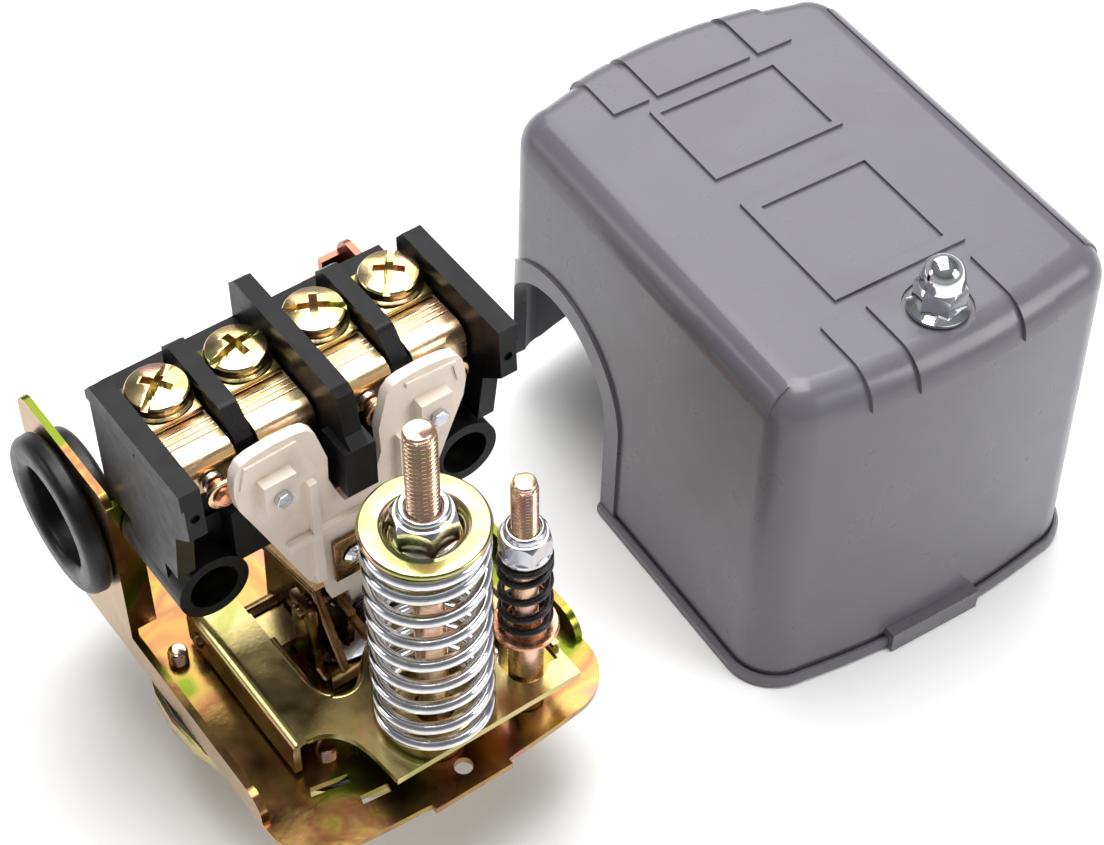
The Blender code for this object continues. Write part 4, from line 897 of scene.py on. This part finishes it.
arch_outline = [(ARCH_Y + ARCH_RADIUS, -3)] + arc(ARCH_Y, ARCH_Z, ARCH_RADIUS, 0, 180, 64)
arch_outline += [(ARCH_Y - ARCH_RADIUS, -3)]
cover_cuts += [plain(prism(arch_outline, -50, -30, "X")), plain(prism(arch_outline, 30, 50, "X"))]
cover_cuts.append(box(-50, 50, ARCH_Y + ARCH_RADIUS - 1.0, 90, -3, REAR_WALL_FOOT))
cover_cuts += [rod(0, RANGE_Y, 4.5, 70, 90), rod(0, RANGE_Y, 6.9, COVER_HEIGHT + 0.1, 90, steps=64)]
build("cover_look", "grey_moulding", "cover_shell", [outside], cover_joins, cover_cuts, bevel=0.28,
      segments=3, angle=32, smooth=40, stands_for=["cover"], place=PARKED)
dome_seat = COVER_HEIGHT + 0.4
dome = [(3.1, dome_seat - 5.2), (4.1, dome_seat - 5.2), (4.1, dome_seat), (5.7, dome_seat),
        (6.0, dome_seat + 0.3), (6.0, dome_seat + 0.9), (4.6, dome_seat + 1.7),
        (4.3, dome_seat + 7.6), (4.2, dome_seat + 8.6)]
dome += arc(0, dome_seat + 8.1, 4.2, 12, 90, 12)[:-1]
dome += [(0, dome_seat + 12.3), (0, dome_seat + 9.0), (3.1, dome_seat + 8.0)]
cap_limits = turned([(0, dome_seat + 0.8), (5.0, dome_seat + 0.8), (5.4, dome_seat + 1.2),
                     (5.4, dome_seat + 5.4), (4.2, dome_seat + 6.8), (0, dome_seat + 6.8)], (0, RANGE_Y, 0))
cap_hexagon = common(plain(prism(hexagon(0, RANGE_Y, 9.0), dome_seat, dome_seat + 8)), cap_limits)
build("cap_nut_look", "chrome", "domed_nut", [turned(dome, (0, RANGE_Y, 0))], [cap_hexagon],
      [rod(0, RANGE_Y, 3.1, 60, dome_seat + 7.5)], bevel=0.12, angle=24, place=PARKED)


# Pieces shown as the CAD has them

dress("blue_zinc", 0.2, "pipe_connector", "diaphragm_plunger", "cap_nut_retainer")
dress("yellow_zinc", 0.2, "diaphragm_flange", "block_screw_left", "block_screw_right")
dress("dark_zinc", 0.2, "pivot_bracket", "carrier_pivot_pin", "lever_pivot_pin")
dress("rubber", 0.15, "diaphragm")
for slot in ("temporary_face", "temporary_edge"):
    bpy.data.materials.remove(bpy.data.materials[slot])

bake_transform(spring)
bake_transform(diff_spring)


# Floor, light and camera

FLOOR_DROP = 0.0002
FLOOR_REACH = 4

def stage_material(name, colour, roughness):
    made = bpy.data.materials.new(name)
    made.use_nodes = True
    shader = made.node_tree.nodes["Principled BSDF"]
    shader.inputs["Base Color"].default_value = (*colour, 1.0)
    shader.inputs["Roughness"].default_value = roughness
    return made


floor_mesh = bpy.data.meshes.new("floor")
floor_mesh.from_pydata([(-FLOOR_REACH, -FLOOR_REACH, 0), (FLOOR_REACH, -FLOOR_REACH, 0),
                        (FLOOR_REACH, FLOOR_REACH, 0), (-FLOOR_REACH, FLOOR_REACH, 0)], [], [(0, 1, 2, 3)])
floor_mesh.materials.append(stage_material("pale_floor", (0.88, 0.88, 0.88), 0.8))
floor = bpy.data.objects.new("floor", floor_mesh)
floor.location = (0, 0, cad_low.z - FLOOR_DROP)
bpy.context.scene.collection.objects.link(floor)

middle = (cad_low + cad_high) / 2


def soft_light(name, offset, size, power):
    """Square softbox aimed at the middle of the object."""
    data = bpy.data.lights.new(name, "AREA")
    data.shape = "SQUARE"
    data.size = size
    data.energy = power
    made = bpy.data.objects.new(name, data)
    made.location = middle + Vector(offset)
    made.rotation_mode = "QUATERNION"
    made.rotation_quaternion = (-Vector(offset)).to_track_quat("-Z", "Y")
    bpy.context.scene.collection.objects.link(made)


soft_light("overhead", (0.05, 0.1, 0.95), 0.7, 12.0)
soft_light("behind", (0.38, 0.62, 0.72), 0.8, 5.5)
soft_light("front_right", (0.55, -0.75, 0.5), 0.5, 5.0)
soft_light("left", (-0.75, 0.53, 0.40), 0.3, 1.2)

world = bpy.data.worlds.new("studio")
bpy.context.scene.world = world
world.use_nodes = True
sky = world.node_tree
background = sky.nodes["Background"]
background.inputs["Strength"].default_value = 0.5
direction = sky.nodes.new("ShaderNodeTexCoord")
split = sky.nodes.new("ShaderNodeSeparateXYZ")
sky.links.new(direction.outputs["Generated"], split.inputs["Vector"])
sky_colour = ramp(sky, split.outputs["Z"], [(0.0, (0.95, 0.95, 0.95)), (0.25, (0.9, 0.9, 0.9)),
                                            (0.5, (0.28, 0.28, 0.29)), (0.95, (0.6, 0.6, 0.6))])
sky.links.new(sky_colour, background.inputs["Color"])
bpy.context.scene.view_settings.view_transform = "Standard"

CAMERA_PLACE = (-0.1370, -0.2469, 0.4146)
CAMERA_AZIMUTH = 0.6296
CAMERA_ELEVATION = 0.8482
CAMERA_ROLL = -0.0056
CAMERA_LENS = 81.43
back = Vector((-math.sin(CAMERA_AZIMUTH) * math.cos(CAMERA_ELEVATION),
               -math.cos(CAMERA_AZIMUTH) * math.cos(CAMERA_ELEVATION), math.sin(CAMERA_ELEVATION)))
level_right = (-back).cross(Vector((0, 0, 1))).normalized()
level_down = (-back).cross(level_right).normalized()
across = level_right * math.cos(CAMERA_ROLL) + level_down * math.sin(CAMERA_ROLL)
down = level_down * math.cos(CAMERA_ROLL) - level_right * math.sin(CAMERA_ROLL)
camera_data = bpy.data.cameras.new("camera")
camera_data.lens = CAMERA_LENS
camera_data.sensor_width = 36.0
camera_data.clip_start = 0.01
camera = bpy.data.objects.new("camera", camera_data)
camera.matrix_world = Matrix.Translation(CAMERA_PLACE) @ Matrix((across, -down, back)).transposed().to_4x4()
bpy.context.scene.collection.objects.link(camera)
bpy.context.scene.camera = camera
